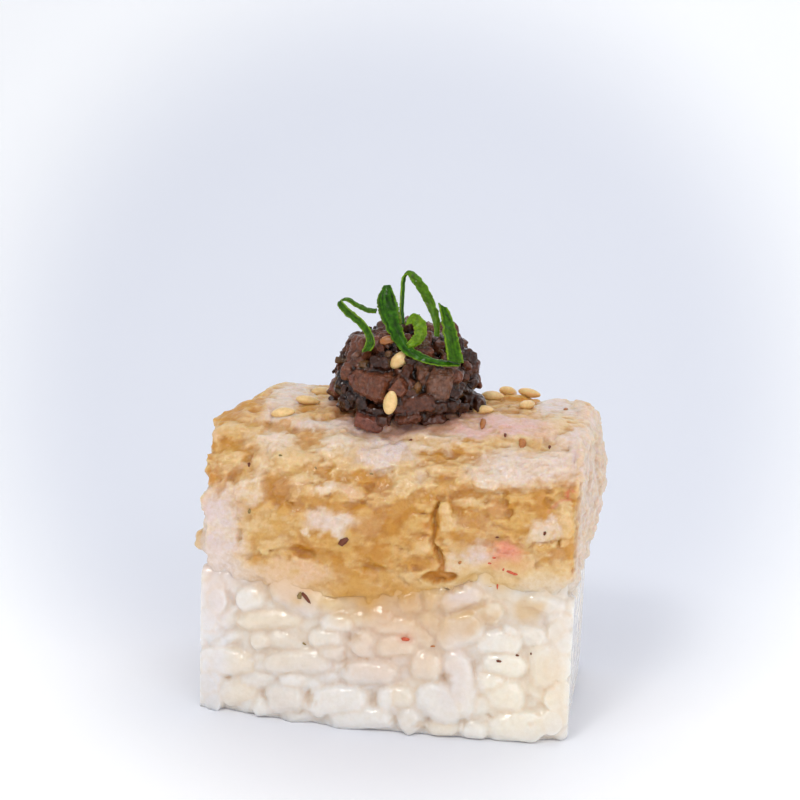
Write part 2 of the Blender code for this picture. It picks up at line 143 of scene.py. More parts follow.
def select_verts(obj, test):
    """In edit mode, selects the vertices whose place passes a test, and no others."""
    bpy.ops.mesh.select_all(action="DESELECT")
    bpy.ops.object.mode_set(mode="OBJECT")
    for vertex in obj.data.vertices:
        vertex.select = test(vertex.co)
    bpy.ops.object.mode_set(mode="EDIT")


def new_material(name):
    made = bpy.data.materials.new(name)
    made.use_nodes = True
    return made, made.node_tree, made.node_tree.nodes["Principled BSDF"]


def add_node(tree, kind, output, inputs, **settings):
    """Adds a node and returns one of its outputs. An input is set to a value or linked to another's output."""
    node = tree.nodes.new("ShaderNode" + kind)
    for name, value in settings.items():
        setattr(node, name, value)
    for key, value in inputs.items():
        if isinstance(value, bpy.types.NodeSocket):
            tree.links.new(value, node.inputs[key])
        else:
            node.inputs[key].default_value = value
    return node.outputs[output]


def paper_material():
    """Pale paper with painted light: brighter further out, and glowing there, as lamps on both sides would light
    it.
    """
    made, tree, surface = new_material("pale paper")
    middle, edge = ((*colour, 1) for colour in SWEEP_COLOURS)
    axis = (CAMERA_TARGET - CAMERA_PLACE).normalized()
    near, far = (math.cos(math.radians(angle)) for angle in SWEEP_ANGLES)
    place = add_node(tree, "TexCoord", "Object", {})
    way = add_node(tree, "VectorMath", "Vector", {0: place, 1: CAMERA_PLACE}, operation="SUBTRACT")
    way = add_node(tree, "VectorMath", "Vector", {0: way}, operation="NORMALIZE")
    along = add_node(tree, "VectorMath", "Value", {0: way, 1: axis}, operation="DOT_PRODUCT")
    ends = {"Value": along, "From Min": near, "From Max": far}
    reach = add_node(tree, "MapRange", "Result", ends, interpolation_type="SMOOTHSTEP")
    colour = add_node(tree, "Mix", "Result", {"Factor": reach, "A": middle, "B": edge}, data_type="RGBA")
    # Painted light: the paper glows further out, as if the lamps lit it more there.
    glow = add_node(tree, "Math", "Value", {0: reach, 1: SWEEP_PAINTED_GLOW}, operation="MULTIPLY")
    tree.links.new(colour, surface.inputs["Base Color"])
    tree.links.new(glow, surface.inputs["Emission Strength"])
    surface.inputs["Emission Color"].default_value = edge
    surface.inputs["Roughness"].default_value = 0.9
    return made


def make_sweep():
    place = (0, SWEEP_BACK - SWEEP_SIZE / 2, 0)
    sweep = start("paper_sweep", bpy.ops.mesh.primitive_plane_add, size=SWEEP_SIZE, location=place)
    with editing(sweep):
        select_verts(sweep, lambda co: co.y > 0)
        middle = (0, SWEEP_BACK, SWEEP_ROUND)
        bpy.ops.mesh.spin(steps=SWEEP_STEPS, angle=math.pi / 2, center=middle, axis=(-1, 0, 0))
        select_verts(sweep, lambda co: co.z > SWEEP_ROUND - 0.001)
        bpy.ops.mesh.extrude_region_move(TRANSFORM_OT_translate={"value": (0, 0, SWEEP_RISE)})
        bpy.ops.mesh.select_all(action="SELECT")
        bpy.ops.mesh.remove_doubles(threshold=1e-5)
        bpy.ops.mesh.normals_make_consistent(inside=False)
    bpy.ops.object.shade_smooth()
    sweep.data.materials.append(paper_material())
    print("sweep:", len(sweep.data.vertices), "vertices, up to z", max(v.co.z for v in sweep.data.vertices))


make_sweep()

# %% [markdown]
# ## Soft studio light
# The light is high and soft: one broad lamp above and in front on the left, one on the right that keeps the
# shadows pale, one above and behind, and a bright surround. A broad lamp gives soft shadows, and its mirror
# image in every wet bump gives the sheen that makes food look moist. One lamp more is small, and only it
# gives sharp sparkles.

# %% Set the lights
LAMPS = (  # name, place (m), size (m), watts, colour
    ("key", (-0.32, -0.42, 0.62), 0.30, 0.5, (1.0, 0.985, 0.96)),
    ("fill", (0.45, -0.60, 0.30), 0.50, 1.58, (0.98, 0.985, 1.0)),
    ("back", (0.15, 0.30, 0.75), 0.50, 0.7, (0.97, 0.98, 1.0)),
    ("glint", (-0.14, -0.46, 0.46), 0.12, 0.8, (1.0, 0.995, 0.98)),
)
LAMP_TARGET = Vector((0, 0, 0.025))
SURROUND = (0.90, 0.93, 1.0)
SURROUND_STRENGTH = 0.61


def add_lamp(name, place, size, watts, colour):
    aim = (LAMP_TARGET - Vector(place)).to_track_quat("-Z", "Y")
    bpy.ops.object.light_add(type="AREA", location=place, rotation=aim.to_euler())
    lamp = bpy.context.object
    lamp.name = name
    lamp.data.size = size
    lamp.data.energy = watts
    lamp.data.color = colour


def add_surround():
    world = bpy.data.worlds.new("surround")
    world.use_nodes = True
    background = world.node_tree.nodes["Background"]
    background.inputs["Color"].default_value = (*SURROUND, 1)
    background.inputs["Strength"].default_value = SURROUND_STRENGTH
    bpy.context.scene.world = world


for lamp in LAMPS:
    add_lamp(*lamp)
    print("lamp:", lamp[0], lamp[3], "W")
add_surround()
bpy.context.scene.view_settings.view_transform = "Standard"
bpy.context.scene.view_settings.look = "None"

# %% [markdown]
# ## Tools for soft, uneven shapes
# Rice, batter and chopped mushroom are all heaps of small lumps that are pressed until they stick. Each heap
# is made in the same way. One lump is modelled and copied many times, the copies are joined, and a voxel
# remesh melts them into one skin. These helpers apply modifiers, copy a lump to its place and read or write
# all points of a mesh at once as an array, in millimetres.

# %% Helpers for lumps
def apply_modifier(obj, kind, **settings):
    only(obj)
    modifier = obj.modifiers.new(kind, kind)
    for name, value in settings.items():
        setattr(modifier, name, value)
    bpy.ops.object.modifier_apply(modifier=modifier.name)


def read_values(items, name, width, kind=np.float32):
    """Reads one value of every vertex, edge or colour at once, as a row for each."""
    values = np.empty(len(items) * width, kind)
    items.foreach_get(name, values)
    return values.reshape(-1, width)


def read_points(obj):
    return read_values(obj.data.vertices, "co", 3).astype(float) / MM


def write_points(obj, points):
    obj.data.vertices.foreach_set("co", (points * MM).astype(np.float32).ravel())
    obj.data.update()


def read_normals(obj):
    return read_values(obj.data.vertex_normals, "vector", 3).astype(float)


def noise_at(points, size, shift=0.0):
    """Smooth noise between about -1 and 1 at each point, with lumps of the given size in mm."""
    return np.array([noise.noise(p) for p in (points / size + shift).tolist()])


def smoothstep(low, high, value):
    t = np.clip((value - low) / (high - low), 0, 1)
    return t * t * (3 - 2 * t)


def copy_lump(model, place, colour):
    """A copy with its own mesh, whose points are already at their place, painted in one colour."""
    mesh = model.data.copy()
    mesh.transform(place)
    tone = mesh.color_attributes.new("Tone", "FLOAT_COLOR", "POINT")
    tone.data.foreach_set("color", np.tile((*colour, 1.0), len(mesh.vertices)).astype(np.float32))
    lump = bpy.data.objects.new(model.name, mesh)
    bpy.context.collection.objects.link(lump)
    return lump


def lay(model, spot, normal, along, turn, size, colour):
    """Copies a lump of 1 unit to a surface: spot and size in mm, X turned in the surface, Z out of it."""
    normal = Vector(normal).normalized()
    side = normal.cross(Vector(along)).normalized()
    level = side.cross(normal)
    turn = math.radians(turn)
    x = level * math.cos(turn) + side * math.sin(turn)
    turned = Matrix((x, normal.cross(x), normal)).transposed().to_4x4()
    scale = Matrix.Diagonal((size[0] * MM, size[1] * MM, size[2] * MM, 1))
    return copy_lump(model, Matrix.Translation(Vector(spot) * MM) @ turned @ scale, colour)


def join(pieces, name):
    deselect()
    for piece in pieces:
        piece.select_set(True)
    bpy.context.view_layer.objects.active = pieces[0]
    bpy.ops.object.join()
    joined = bpy.context.object
    joined.name = name
    joined.data.name = name
    return joined


# %% [markdown]
# ## Colours
# Food colours are named once, as a cook would name them, in the 0 to 255 numbers of a colour picker. Blender
# mixes light with linear numbers, so each one is converted. Painting is done on the mesh itself: a colour
# attribute holds one tone for every vertex, and the materials read it.

# %% Palette
PALETTE = {
    "ochre": (192, 134, 32), "gold": (196, 139, 48), "straw": (211, 169, 97), "cream": (221, 191, 143),
    "pearl": (225, 207, 191), "lavender": (218, 201, 197), "peach": (222, 188, 156), "coral": (228, 150, 128),
    "red": (204, 92, 58), "amber": (198, 134, 48), "prawn": (224, 207, 199), "pink": (219, 178, 171),
    "butter": (240, 229, 207), "frost": (225, 224, 228), "juice_and_shadow": (168, 100, 76), "white": (228, 222, 215),
    "milk": (224, 216, 207), "ivory": (227, 216, 201), "tan": (212, 178, 134), "brown": (102, 58, 38),
    "umber": (86, 46, 28), "grey": (104, 68, 50), "dark": (54, 26, 12), "ink": (40, 19, 12), "olive": (92, 62, 26),
    "wine": (108, 60, 46), "starch_shade": (226, 194, 150), "seed": (234, 199, 138), "toast": (176, 112, 58),
    "bark": (106, 50, 20), "khaki": (140, 118, 66), "leaf": (46, 92, 2), "lime": (146, 176, 36),
}  # fmt: skip


def linear(name):
    colour = np.array(PALETTE[name]) / 255
    return np.where(colour <= 0.04045, colour / 12.92, ((colour + 0.055) / 1.055) ** 2.4)


def between(first, second, share):
    """A tone between two of the palette for each vertex."""
    return linear(first) + share[:, None] * (linear(second) - linear(first))


def paint(obj, tones, sink=1.0):
    """Writes one colour per vertex, and beside it how freely light sinks in there, from 0 to 1."""
    for old in list(obj.data.color_attributes):
        obj.data.color_attributes.remove(old)
    attribute = obj.data.color_attributes.new("Tone", "FLOAT_COLOR", "POINT")
    rgba = np.column_stack([np.clip(tones, 0, 1), np.broadcast_to(sink, len(tones))])
    attribute.data.foreach_set("color", rgba.astype(np.float32).ravel())
    print(obj.name, "mean tone:", tones.mean(0).round(2).tolist())


def tint(tones, colour, share):
    """Mixes a colour into the tones, as far as share says for each vertex."""
    tones += np.clip(share, 0, 1)[:, None] * (colour - tones)


# %% [markdown]
# ## Melt lumps into one skin
# A voxel remesh turns the joined lumps into one closed skin, but it forgets their colours. So each point of
# the skin looks up the lump that is nearest, and takes its tone and its number. The numbers then tell where
# two lumps meet, because a crease is there.

# %% Helpers for skins
VOXEL_FACTOR = 1.0


def number_lumps(lumps):
    """Writes each lump's number beside its tone, so that it can be told apart after joining."""
    for number, lump in enumerate(lumps):
        tone = lump.data.color_attributes["Tone"].data
        values = read_values(tone, "color", 4)
        values[:, 3] = number
        tone.foreach_set("color", values.ravel())


def drop_loose_bits(obj):
    """Removes what isn't joined to the highest point, such as a crumb that lost its hold."""
    top = max(vertex.co.z for vertex in obj.data.vertices)
    with editing(obj):
        select_verts(obj, lambda co: co.z >= top)
        bpy.ops.mesh.select_linked()
        bpy.ops.mesh.select_all(action="INVERT")
        bpy.ops.mesh.delete(type="VERT")


def skin_tree(obj, unit=MM):
    """What finds the nearest face, or the first one that a ray meets."""
    faces = [tuple(face.vertices) for face in obj.data.polygons]
    return BVHTree.FromPolygons([vertex.co / unit for vertex in obj.data.vertices], faces)


def melt(lumps, name, voxel, smoothing):
    """Joins painted lumps and melts them into one skin. Gives each of its points a tone and a lump's number."""
    number_lumps(lumps)
    heap = join(lumps, name)
    tones = read_values(heap.data.color_attributes["Tone"].data, "color", 4).astype(float)
    corners = np.array([face.vertices[0] for face in heap.data.polygons])
    tree = skin_tree(heap, 1)
    apply_modifier(heap, "REMESH", mode="VOXEL", voxel_size=voxel * MM)
    drop_loose_bits(heap)
    found = [tree.find_nearest(v.co)[2] for v in heap.data.vertices]
    apply_modifier(heap, "SMOOTH", factor=0.5, iterations=smoothing)
    nearest = tones[corners[found]]
    print(name, "skin:", len(heap.data.vertices), "vertices from", len(lumps), "lumps")
    return heap, nearest[:, :3], nearest[:, 3].round().astype(int)


def edge_ends(obj):
    return read_values(obj.data.edges, "vertices", 2, np.int32).T


def spread(values, ends, steps):
    """Averages a value with its neighbours' a number of times."""
    a, b = ends
    count = np.bincount(a, minlength=len(values)) + np.bincount(b, minlength=len(values))
    for _ in range(steps):
        values = (np.bincount(a, values[b], len(values)) + np.bincount(b, values[a], len(values))) / count
    return values


def crease_at(obj, owners, steps):
    """1 where the skin goes over from one lump to another, fading away from there."""
    a, b = ends = edge_ends(obj)
    crease = np.zeros(len(owners))
    crease[a[owners[a] != owners[b]]] = 1
    crease[b[owners[a] != owners[b]]] = 1
    return spread(crease, ends, steps)


def hollow_at(obj, steps):
    """How far each point lies under the surface as it would be if it were smoothed, in mm."""
    points, ends = read_points(obj), edge_ends(obj)
    smooth = np.stack([spread(points[:, k], ends, steps) for k in range(3)], 1)
    return ((smooth - points) * read_normals(obj)).sum(1)


# %% [markdown]
# ## The shape of the block
# The block was pressed in a box and then slumped: its front stands out in the middle, most at its foot. Its
# front top edge is rounded over. These few rules hold that shape, and they let a lump be placed on the front
# by two numbers: how far across, and how far up the front and on over the round and along the top.

# %% Rules of the block
WIDTH, DEPTH, HEIGHT = 46.0, 28.8, 37.7
SEAM, SEAM_WAVE, SEAM_LENGTH = 17.2, 1.5, 44.0  # its height, how far it waves up and down, length of a wave
SLUMP, SLUMP_FADE = 3.2, 0.9  # how far the middle stands out at the foot, and the share of it lost at the top
FRONT_ROUND, BACK_ROUND, SIDE_ROUND, CORNER_ROUND = 12.0, 4.0, 2.0, 1.6  # radius of each kind of edge
ROUND_Y, ROUND_Z = FRONT_ROUND - DEPTH / 2, HEIGHT - FRONT_ROUND  # the middle of the front round
ARC = FRONT_ROUND * math.pi / 2


def slump_factor(points):
    across = np.minimum(1, np.abs(points[:, 0]) / (WIDTH / 2))
    return 2 / DEPTH * SLUMP * (1 - across**3) * (1 - SLUMP_FADE * points[:, 2] / HEIGHT)


def slump(points):
    """Moves points of the front half of the plain block to where the slump took them."""
    reach = np.clip(-points[:, 1], 0, DEPTH / 2)
    points[:, 1] -= slump_factor(points) * reach
    return points


def unslump(points):
    plain = points.copy()
    front = plain[:, 1] < 0
    plain[front, 1] /= 1 + slump_factor(points)[front]
    return plain


def seam_height(points):
    along = SEAM_WAVE * np.sin(math.tau * (points[:, 0] - 2) / SEAM_LENGTH)
    return SEAM + along + SEAM_WAVE / 4 * np.sin(2 * math.tau * points[:, 1] / SEAM_LENGTH)


def front_place(points):
    """Across, up over the front and how deep under it each point lies."""
    x, y, z = unslump(points).T
    angle = np.arctan2(z - ROUND_Z, ROUND_Y - y)
    curved = (y < ROUND_Y) & (z > ROUND_Z)
    up = np.where(y >= ROUND_Y, ROUND_Z + ARC + y - ROUND_Y, z)
    up = np.where(curved, ROUND_Z + FRONT_ROUND * angle, up)
    deep = np.where(z > ROUND_Z, HEIGHT - z, y + DEPTH / 2)
    deep = np.where(curved, FRONT_ROUND - np.hypot(y - ROUND_Y, z - ROUND_Z), deep)
    return x, up, deep


def front_point(across, up):
    """The place on the block's front of a spot given as across and up, and the way out of it."""
    if up < ROUND_Z:
        y, z, normal = -DEPTH / 2, up, (0, -1, 0)
    elif up < ROUND_Z + ARC:
        angle = (up - ROUND_Z) / FRONT_ROUND
        y, z = ROUND_Y - FRONT_ROUND * math.cos(angle), ROUND_Z + FRONT_ROUND * math.sin(angle)
        normal = (0, -math.cos(angle), math.sin(angle))
    else:
        y, z, normal = ROUND_Y + up - ROUND_Z - ARC, HEIGHT, (0, 0, 1)
    return Vector(slump(np.array([[across, y, z]]))[0]), Vector(normal)


def ellipse_share(across, up, patch, soft=0.3):
    """How far inside an ellipse on the front each point lies: 1 inside, 0 outside."""
    x, s, length, width, turn = patch
    cos, sin = math.cos(math.radians(turn)), math.sin(math.radians(turn))
    u = (across - x) * cos + (up - s) * sin
    v = (up - s) * cos - (across - x) * sin
    reach = np.hypot(u / (length / 2), v / (width / 2))
    return 1 - smoothstep(1 - soft, 1 + soft, reach)


def on_front(deep, end):
    """1 for what lies at the front, fading to 0 where it is as deep as the end, in mm."""
    return 1 - smoothstep(2.5, end, deep)


TRIES = 14  # for each spot


def spots_between(width, height, count, draw, taken):
    """Spreads spots over a wall: each new one is the try that lies farthest from all the others."""
    spots = [tuple(spot) for spot in taken]
    for _ in range(count):
        tries = draw.uniform((0, 0), (width, height), (TRIES, 2))
        if spots:
            apart = np.linalg.norm(tries[:, None] - np.array(spots)[None], axis=2).min(1)
            tries = tries[[apart.argmax()]]
        spots.append(tuple(tries[0]))
    return spots[len(taken):]


# %% [markdown]
# ## One grain of rice
# Cooked short-grain rice is a plump, slightly bent capsule, 6 to 8 mm long and about 3 mm wide. A ball with
# few faces is enough, because the remesh smooths it later: its end rings are widened so that its ends are
# blunt, and its middle is pushed a little to one side.

# %% Model a grain
def model_grain():
    ball = {"segments": 10, "ring_count": 7, "radius": 0.5, "rotation": (0, math.pi / 2, 0)}
    grain = start("grain", bpy.ops.mesh.primitive_uv_sphere_add, **ball)
    with editing(grain):
        select_verts(grain, lambda co: 0.2 < abs(co.x) < 0.47)
        bpy.ops.transform.resize(value=(1, 1.16, 1.16), center_override=(0, 0, 0))
        select_verts(grain, lambda co: abs(co.x) < 0.3)
        bpy.ops.transform.translate(value=(0, 0.05, 0))
    return grain


grain_model = model_grain()
print("grain:", len(grain_model.data.polygons), "faces")

# %% [markdown]
# ## The grains that show on the front
# The grains on the front are placed one by one, as they lie on the real piece: across, up, length, width, how
# far they are turned and how deep they lie, in mm. The left corner is one smooth mass where the press closed
# the grains up. Everything between and behind them is filled by rule.

# %% Lay the front grains
FRONT_GRAINS = (
    (-21.2, 12.8, 10.3, 4.7, 89, 0), (-19, 6.2, 8.9, 3.6, 5, 0), (-21.6, 2.2, 4.2, 3.3, 63, 0.1),
    (-17.4, 2.7, 5.9, 3.5, 15, 0.1), (-11.5, 2.8, 5.2, 3.8, 7, 0), (-10, 7.4, 9, 3.2, 7, 0.15),
    (-15, 9.7, 2.7, 2.2, 23, 0.1), (-16.4, 14.7, 4.1, 3.2, 18, 0.1), (-13.7, 12.4, 9.1, 2.5, 7, 0.4),
    (-10.4, 15.9, 7.6, 4.3, -23, 0), (-6.6, 11, 4.5, 2.4, 7, 0.2), (-5.3, 12.9, 4.2, 2.2, 6, 0.1),
    (-1.9, 10.7, 3.5, 3.2, 79, 0.1), (-1.1, 7.1, 7.2, 2.9, 7, 0.1), (-4.9, 3.2, 7.7, 3.5, 11, -0.1),
    (-1.7, 1.5, 9.3, 2.8, 8, 0.15), (1.5, 4.2, 3.2, 2.7, 86, 0.1), (-10.6, 5.3, 3.3, 2, 9, 0.3),
    (-14.3, 1.3, 3, 2, 15, 0.3), (9.5, 17.3, 5.8, 3, 23, -0.1), (9.6, 13.1, 6.3, 4.3, 35, 0),
    (13.6, 16, 2.6, 2.2, 7, 0.1), (15.8, 13.8, 2.1, 1.1, -29, 0.1), (14.2, 12.1, 5.8, 3, 6, 0.1),
    (15, 9.5, 5.6, 3, -4, 0.1), (19.5, 9.6, 6.4, 4, -86, 0.1), (9.9, 6.7, 8.8, 3.4, -79, 0),
    (5.8, 8.5, 4.3, 3.7, -5, 0.1), (7.5, 4.1, 6, 4.2, -30, -0.1), (8.2, 1.2, 3.6, 1.8, 5, 0.4),
    (4.3, 1.7, 3.3, 3.2, 33, -0.1), (2.7, 4.4, 4.2, 2.9, 8, 0.1), (16.7, 1.8, 7.1, 3.5, 4, -0.1),
    (12, 1.1, 3.2, 2, 3, 0.3), (21.2, 12.1, 11.2, 3.2, -87, 0), (21.6, 4.3, 6.3, 2.9, -86, 0.1),
    (15.2, 5.4, 5.2, 4.2, 3, 0.15), (3.5, 16, 3.2, 2.9, 16, 0.3), (-0.4, 13.8, 4.9, 3.2, 16, 0.4),
    (6, 17, 3.4, 2.6, -89, 0.4), (2.1, 10.6, 5.4, 2.9, 6, 0.3), (-5.9, 9.2, 3.8, 2.7, 9, 0.5),
)  # fmt: skip
RICE_TONES = ("white", "white", "milk", "milk", "ivory")
PROUD = 0.3  # how far a grain stands out before the press flattens it, in mm
THICKEST = 3.2  # however long and wide a grain is


def lay_front_grains(draw):
    grains = []
    for across, up, length, width, turn, inset in FRONT_GRAINS:
        spot, normal = front_point(across, up)
        thick = min(width, THICKEST)
        spot -= normal * (thick / 2 + inset - PROUD)
        size = (length * 1.1, width * 1.22, thick)  # a little larger, because the remesh eats into it
        grains.append(lay(grain_model, spot, normal, (1, 0, 0), turn, size, linear(draw.choice(RICE_TONES))))
    return grains


rice_draw = np.random.default_rng(5)
rice_lumps = lay_front_grains(rice_draw)
print("front grains:", len(rice_lumps))

# %% [markdown]
# ## The other grains
# A layer of grains goes on the other three walls, mostly lying level, and a deeper layer behind all four, so
# that a gap between two grains shows another grain and not a hole.

# %% Fill the walls with grains
WALLS = (  # way out, way along, half the block's depth behind the wall, wall width
    ((0, -1, 0), (1, 0, 0), DEPTH / 2, WIDTH), ((1, 0, 0), (0, 1, 0), WIDTH / 2, DEPTH),
    ((0, 1, 0), (-1, 0, 0), DEPTH / 2, WIDTH), ((-1, 0, 0), (0, -1, 0), WIDTH / 2, DEPTH),
)  # fmt: skip
WALL_TOP = 17.0  # before the seam's wave is put on
WALL_EDGE, WALL_ROOF = 1.5, 2.6  # mm that are kept free at the sides and the foot, and at foot and top together
LAYERS = ((-0.55, 0.2, 10.5), (0.35, 0.4, 14.0))  # depth, how uneven, and mm2 of wall to a grain
FRONT_FILL = (0.05, 0.35, 9.5)  # the same for what fills the front between the grains that were placed


def lay_wall_grains(wall, layer, draw, taken=()):
    normal, along, half_depth, width = wall
    inset, uneven, cover = layer
    count = round(width * WALL_TOP / cover) - len(taken)
    grains = []
    for right, up in spots_between(width - 2 * WALL_EDGE, WALL_TOP - WALL_ROOF, count, draw, taken):
        size = (draw.uniform(6.0, 8.4), draw.uniform(3.0, 3.9), draw.uniform(2.6, 3.1))
        middle = Vector(normal) * (half_depth - size[2] / 2 - inset - draw.uniform(-0.05, uneven))
        middle += Vector(along) * (right + WALL_EDGE - width / 2)
        middle.z = up + WALL_EDGE
        middle = slump(np.array([middle]))[0]
        middle[2] *= (seam_height(np.array([middle]))[0] - 0.2) / WALL_TOP
        tilt = draw.normal(0, 22)
        grains.append(lay(grain_model, middle, normal, along, tilt, size, linear(draw.choice(RICE_TONES))))
    return grains


placed = [(grain[0] + WIDTH / 2 - WALL_EDGE, grain[1] - WALL_EDGE) for grain in FRONT_GRAINS]
rice_lumps += lay_wall_grains(WALLS[0], FRONT_FILL, rice_draw, placed)
for wall in WALLS[1:]:
    rice_lumps += lay_wall_grains(wall, LAYERS[0], rice_draw)
for wall in WALLS:
    rice_lumps += lay_wall_grains(wall, LAYERS[1], rice_draw)
print("grains:", len(rice_lumps))

# %% [markdown]
# ## Press the rice
# A box fills the inside and reaches a little past the wavy seam, into the tempura, so that no gap shows. All
# of it is melted into one skin. The press flattened whatever stood out of the walls, so points beyond a wall
# are pushed back to it with a soft limit, and the underside is cut flat to stand on.

# %% Melt and press the rice
RICE_VOXEL, RICE_SMOOTHING = 0.28, 4  # mm, and how often the skin is smoothed
CORE_INSET, CORE_CUTS = 0.75, 16  # how far the box lies inside the walls, and how often its edges are cut
TUCK = 0.38  # above the seam the rice draws in by this for every mm, and below it the tempura does
RICE_GAPS = (  # across, up, length, width, turn, depth: small gaps that the press left between grains
    (-3.1, 11.4, 2.1, 1.1, 20, 0.7), (-4.3, 8.2, 1, 1.8, 0, 0.6), (8.4, 7.4, 1.5, 1.9, -15, 0.8),
    (-8.3, 3.5, 1.5, 1.8, 0, 0.8), (-0.5, 4.2, 1.6, 1.8, 0, 0.6), (-14.5, 2.7, 1.2, 1, 0, 0.6),
    (-19.2, 4.2, 1.5, 0.9, 0, 0.6), (-18.4, 8.7, 2.1, 1.1, 0, 0.5), (11.7, 8.9, 0.6, 2.9, 8, 0.5),
    (13.8, 3.2, 1, 0.6, 0, 0.6), (5.7, 1.5, 1.4, 1.4, 0, 0.7), (10.8, 2, 1.1, 0.9, 0, 0.6),
    (2.1, 1.8, 1, 1.2, 0, 0.6), (-9.4, 1.3, 1.2, 0.9, 0, 0.6), (10.2, 15.9, 4.9, 0.9, 28, 0.5),
    (-18.1, 12.8, 1.6, 0.8, 0, 0.4), (3.8, 16.9, 1.6, 1.1, 0, 0.4), (-12, 6.2, 5, 0.5, 8, 0.3),
    (-6, 1, 1, 1, 0, 0.5), (18.8, 2.6, 1, 0.7, 30, 0.5), (7.1, 20.2, 5.2, 3, 4, 6),
)  # fmt: skip


def model_core(name, low, high, cuts):
    """A box whose faces are split evenly, added at its size and place in mm."""
    deselect()
    middle = [(a + b) / 2 * MM for a, b in zip(low, high)]
    bpy.ops.mesh.primitive_cube_add(size=1, location=middle)
    core = bpy.context.object
    core.scale = [(b - a) * MM for a, b in zip(low, high)]
    bpy.ops.object.transform_apply(location=True, scale=True)
    with editing(core):
        bpy.ops.mesh.subdivide(number_cuts=cuts)
    core.name = name
    return core


def press(values, limit, soft):
    """Brings what lies beyond a limit softly back to it."""
    over = np.maximum(0, np.abs(values) - (limit - soft))
    return np.sign(values) * (np.minimum(np.abs(values), limit - soft) + soft * np.tanh(over / soft))


def above_border(points):
    """How far each point lies above the ragged line at which rice goes over into tempura."""
    border = seam_height(points) + 0.3 + 1.1 * smoothstep(5, 12, np.abs(points[:, 0]))
    return points[:, 2] - border + 1.2 * noise_at(points, 2.6, 50) + 0.6 * noise_at(points, 1.0, 53)


def tuck_in(values, half, tuck):
    """Draws in what lies near a wall, on either side of the block."""
    near = smoothstep(half - 4, half - 1.5, np.abs(values))
    return values - np.sign(values) * tuck * near


def dent(points, across, up, deep, dents):
    """How far each point on the front is pushed in by a list of elliptic dents with wandering edges."""
    push = np.zeros(len(points))
    wander = [0.5 * noise_at(points, 0.9, k) + 0.25 * noise_at(points, 0.4, k + 5) for k in (60, 80)]
    for *patch, depth in dents:
        share = ellipse_share(across + wander[0], up + wander[1], patch, 0.8)
        push = np.maximum(push, 0.5 * depth * share)
    return push * on_front(deep, 3.5)


def model_rice_core():
    half_width, half_depth = WIDTH / 2 - CORE_INSET, DEPTH / 2 - CORE_INSET
    core = model_core("rice_core", (-half_width, -half_depth, 0), (half_width, half_depth, SEAM), CORE_CUTS)
    points = read_points(core)
    points[:, :2] *= 1 - 0.02 * smoothstep(2.5, 0, points[:, 2])[:, None]
    points = slump(points)
    points[:, 2] *= (seam_height(points) + 2.4) / SEAM
    write_points(core, points)
    paint(core, np.tile(linear("milk"), (len(points), 1)))
    return core


def roughen_rice(rice, owners, crease):
    """Sets each grain a little out or in, gives it a faint skin and marks the creases between grains."""
    points = read_points(rice)
    raised = np.random.default_rng(3).uniform(-0.1, 0.1, len(rice_lumps) + 1)
    raised = spread(np.where(owners == 0, -0.05, raised[owners]), edge_ends(rice), 2)
    rough = 0.1 * noise_at(points, 2.2) + 0.05 * noise_at(points * (0.4, 1, 1), 0.7, 9)
    rough += crease * (0.08 * smoothstep(8, 3, points[:, 2]) - 0.12)
    return points + read_normals(rice) * (rough + raised)[:, None]


def make_rice():
    lumps = [model_rice_core()] + rice_lumps
    rice, tones, owners = melt(lumps, "pressed_rice", RICE_VOXEL * VOXEL_FACTOR, RICE_SMOOTHING)
    crease = crease_at(rice, owners, 1)
    points = roughen_rice(rice, owners, crease)
    plain = unslump(points)
    tuck = TUCK * np.clip(above_border(points) - 0.5, 0, 4)
    for axis, half in ((0, WIDTH / 2), (1, DEPTH / 2)):
        plain[:, axis] = press(plain[:, axis], half + 0.1, 0.2)
        plain[:, axis] = tuck_in(plain[:, axis], half, tuck)
    push = dent(points, *front_place(points), RICE_GAPS)
    plain[:, 1] += push
    plain[:, 2] = np.minimum(np.maximum(plain[:, 2], 0), seam_height(points) + 3.0)
    write_points(rice, slump(plain))
    return rice, tones, push, crease


rice, rice_tones, rice_push, rice_crease_shade = make_rice()

# %% [markdown]
# ## Paint the rice
# Rice is almost white, a little greyer or warmer from grain to grain. In the gaps and creases between the grains
# a warm tan is painted as shade, the tone that light has there after passing through starch. Near the seam the
# batter's fat has run into the rice and stained it.
# The stain is worked out from the place alone, so the layer above can use the same rule and no line shows.

# %% Paint the rice
SEAM_STAINS = (  # across, up, length, width, turn, how strong, tone
    (-18.5, 18, 9, 4, 5, 0.8, "pearl"), (-21, 18, 6, 12, 0, 0.9, "prawn"), (-12, 17.6, 9, 3.6, -6, 0.8, "peach"),
    (-5, 18.4, 8, 3.6, 0, 0.8, "gold"), (1, 16.6, 11, 5, 0, 0.8, "gold"), (2.5, 13.4, 9, 5.5, 10, 0.6, "peach"),
    (6.6, 13.9, 4, 6, 0, 0.5, "tan"), (10, 17.3, 6, 2.8, 23, 0.85, "lavender"), (14, 17, 5, 3.4, 0, 0.6, "cream"),
    (19, 17.6, 8, 6, 10, 0.6, "ivory"), (17.6, 16.2, 4.4, 2.4, 20, 0.6, "straw"),
    (7.5, 15.2, 9, 3.6, 0, 0.6, "tan"), (21.9, 16.5, 3.2, 8, 0, 0.8, "milk"),
)  # fmt: skip
